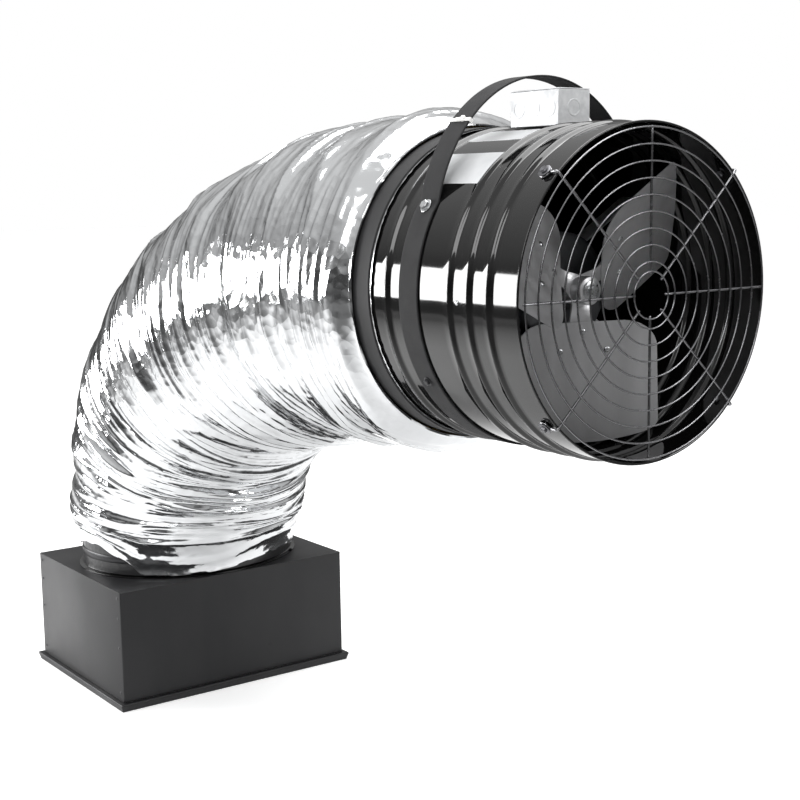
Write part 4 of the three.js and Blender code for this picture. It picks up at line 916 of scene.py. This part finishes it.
def addGuard():
    # flat rings of thin wire on the front of eight spokes; every second spoke bends back over the rim to an eye
    def hoop(path, wireRadius):
        return gridMesh("hoop", wirePoints(path, wireRadius, 8, True), alongWraps=True)

    meshes = []
    for radius in [guard["eye"]] + [guard["outer"] - i * guard["pitch"] for i in range(guard["rings"])]:
        steps = 96 if radius > 0.09 else 64
        path = headPoint(radius, np.arange(steps) / steps * turn, guard["ringLevel"])
        meshes.append(hoop(path, guard["ringWire"]))
    for degrees in range(0, 360, 45):
        angle = math.radians(degrees)
        if degrees % 90:
            bends = [(r, guard["spokeLevel"]) for r in (guard["spokeStart"], 0.12, 0.201)]
            bends = roundedPath(bends + [(0.2066, -0.0012), (0.2069, 0.0035), (0.2062, 0.008),
                                         (guard["eyeLevel"], guard["hookBack"] - guard["eyeRadius"])])
            eye = np.arange(40) / 40 * turn
            centre = headPoint(guard["eyeLevel"], angle, guard["hookBack"])
            side = np.array([-math.sin(angle), 0, math.cos(angle)])
            loop = centre + guard["eyeRadius"] * (np.cos(eye)[:, None] * side + np.sin(eye)[:, None] * [0, 1, 0])
            meshes.append(hoop(loop, guard["spokeWire"]))
        else:
            reach = np.linspace(guard["spokeStart"], guard["spokeEnd"], 12)
            bends = np.array([(r, guard["spokeLevel"]) for r in reach])
        path = headPoint(bends[:, 0], angle, bends[:, 1])
        meshes.append(gridMesh("spoke", wirePoints(path, guard["spokeWire"], 10), capped=True))
    addPiece("frontGuard", joinMeshes("frontGuard", meshes), wire, ["wire_guard"], sharp=60)


addGuard()
print("guard ready")


# ---- hanging strap and its tie

strap = {"width": 0.038, "thickness": 0.0024, "middle": 0.204, "crown": 0.267, "flat": 0.013, "leaves": 30,
         "lean": 35, "rise": (-0.016, 0.078), "shoulder": 0.09}


def strapPath():
    # round the underside of the housing, a short straight run off it, then a cubic Bezier up to the crown
    radius = head["radius"] + 0.0003 + strap["thickness"] / 2
    round_ = np.radians(np.linspace(-90, strap["leaves"], 90))
    onShell = np.stack([radius * np.cos(round_), radius * np.sin(round_)], -1)
    lean = math.radians(strap["lean"])
    a = onShell[-1] + strap["flat"] * np.array([-math.sin(lean), math.cos(lean)])
    b, c, d = a + strap["rise"], np.array([strap["shoulder"], strap["crown"]]), np.array([0, strap["crown"]])
    t = np.linspace(0, 1, 70)[:, None]
    half = np.concatenate([onShell, bezier(a, b, c, d, t)])
    return np.concatenate([half, (half * [-1, 1])[1:-1][::-1]])


def addStrap():
    # a flat section with rounded edges carried round the closed path in the plane of the motor's arms
    path = strapPath()
    ahead = np.roll(path, -1, 0) - np.roll(path, 1, 0)
    out = np.stack([ahead[:, 1], -ahead[:, 0]], -1) / np.linalg.norm(ahead, axis=1)[:, None]
    w, h, e = strap["width"] / 2, strap["thickness"] / 2, 0.0007
    ripple = np.linspace(-1, 1, 13)
    section = [(-w, -h + e), (-w + e, -h)] + [(w * x, -h) for x in ripple[1:-1]] + [(w - e, -h), (w, -h + e)]
    section = np.array(section + [(a, -b) for a, b in section][::-1])
    places = path[:, None] + out[:, None] * section[None, :, 1:2]
    y = head["rim"] + strap["middle"] + section[None, :, 0] + 0 * places[..., 0]
    points = np.stack([places[..., 0], y, head["axisHeight"] + places[..., 1]], -1)
    length = np.linalg.norm(np.diff(path, axis=0), axis=1).sum()
    addGrid("headStrap", points, webbing, ["hanging_strap"], sharp=50, alongWraps=True, span=(0.08, length))


addStrap()
softenedCopy("strap_tie", nylon, 0.0004, name="strapTie")
print("strap ready")


# ---- junction box

wiring = {"length": 0.091, "width": 0.052, "height": 0.044, "foot": 0.2033, "middle": 0.1765, "sheet": 0.0014,
          "pitch": 0.029}


def addJunctionBox():
    # an open-topped box of folded sheet: the outline goes up the outside, over the edge and down the inside
    y, z = head["rim"] + wiring["middle"], head["axisHeight"] + wiring["foot"]
    w, l, s, h = wiring["width"] / 2, wiring["length"] / 2, wiring["sheet"], wiring["height"]
    shape = bmesh.new()
    corners = [(-1, -1), (1, -1), (1, 1), (-1, 1)]
    levels = [(0, 0), (0, h), (s, h), (s, s)]
    rings = [[shape.verts.new((cx * (w - inset), y + cy * (l - inset), z + up)) for cx, cy in corners]
             for inset, up in levels]
    for low, high in zip(rings, rings[1:]):
        for k in range(4):
            shape.faces.new((low[k], low[(k + 1) % 4], high[(k + 1) % 4], high[k]))
    shape.faces.new(rings[0][::-1])
    shape.faces.new(rings[-1])
    mesh = bpy.data.meshes.new("wiringBox")
    shape.to_mesh(mesh)
    shape.free()
    turnFacesOut(mesh)
    addPiece("wiringBox", mesh, galvanised, ["junction_box"], bevel=0.0007)
    disc = [(-0.0004, 0.011, 0), (0.0001, 0.011, 0), (0.0004, 0.0107, 0), (0.0004, 0.0088, 0), (0.0001, 0.0085, 0),
            (0.0001, 0.003, 0)]
    for side, sideName, endName in ((-1, "Left", "Front"), (1, "Right", "Rear")):
        places = [(side * w, y + step * wiring["pitch"], z + h / 2) for step in (-1, 0, 1)]
        diskRow("sideKnockouts" + sideName, places, (side, 0, 0), disc, galvanised, 36)
        diskRow("endKnockout" + endName, [(0, y + side * l, z + h / 2)], (0, side, 0), disc, galvanised, 36)


addJunctionBox()
softenedCopy("junction_cover", galvanised, 0.0005, name="wiringCover")
for node in ("box_screw_1", "box_screw_2"):
    softenedCopy(node, zinc, 0.0003)
print("junction box ready")
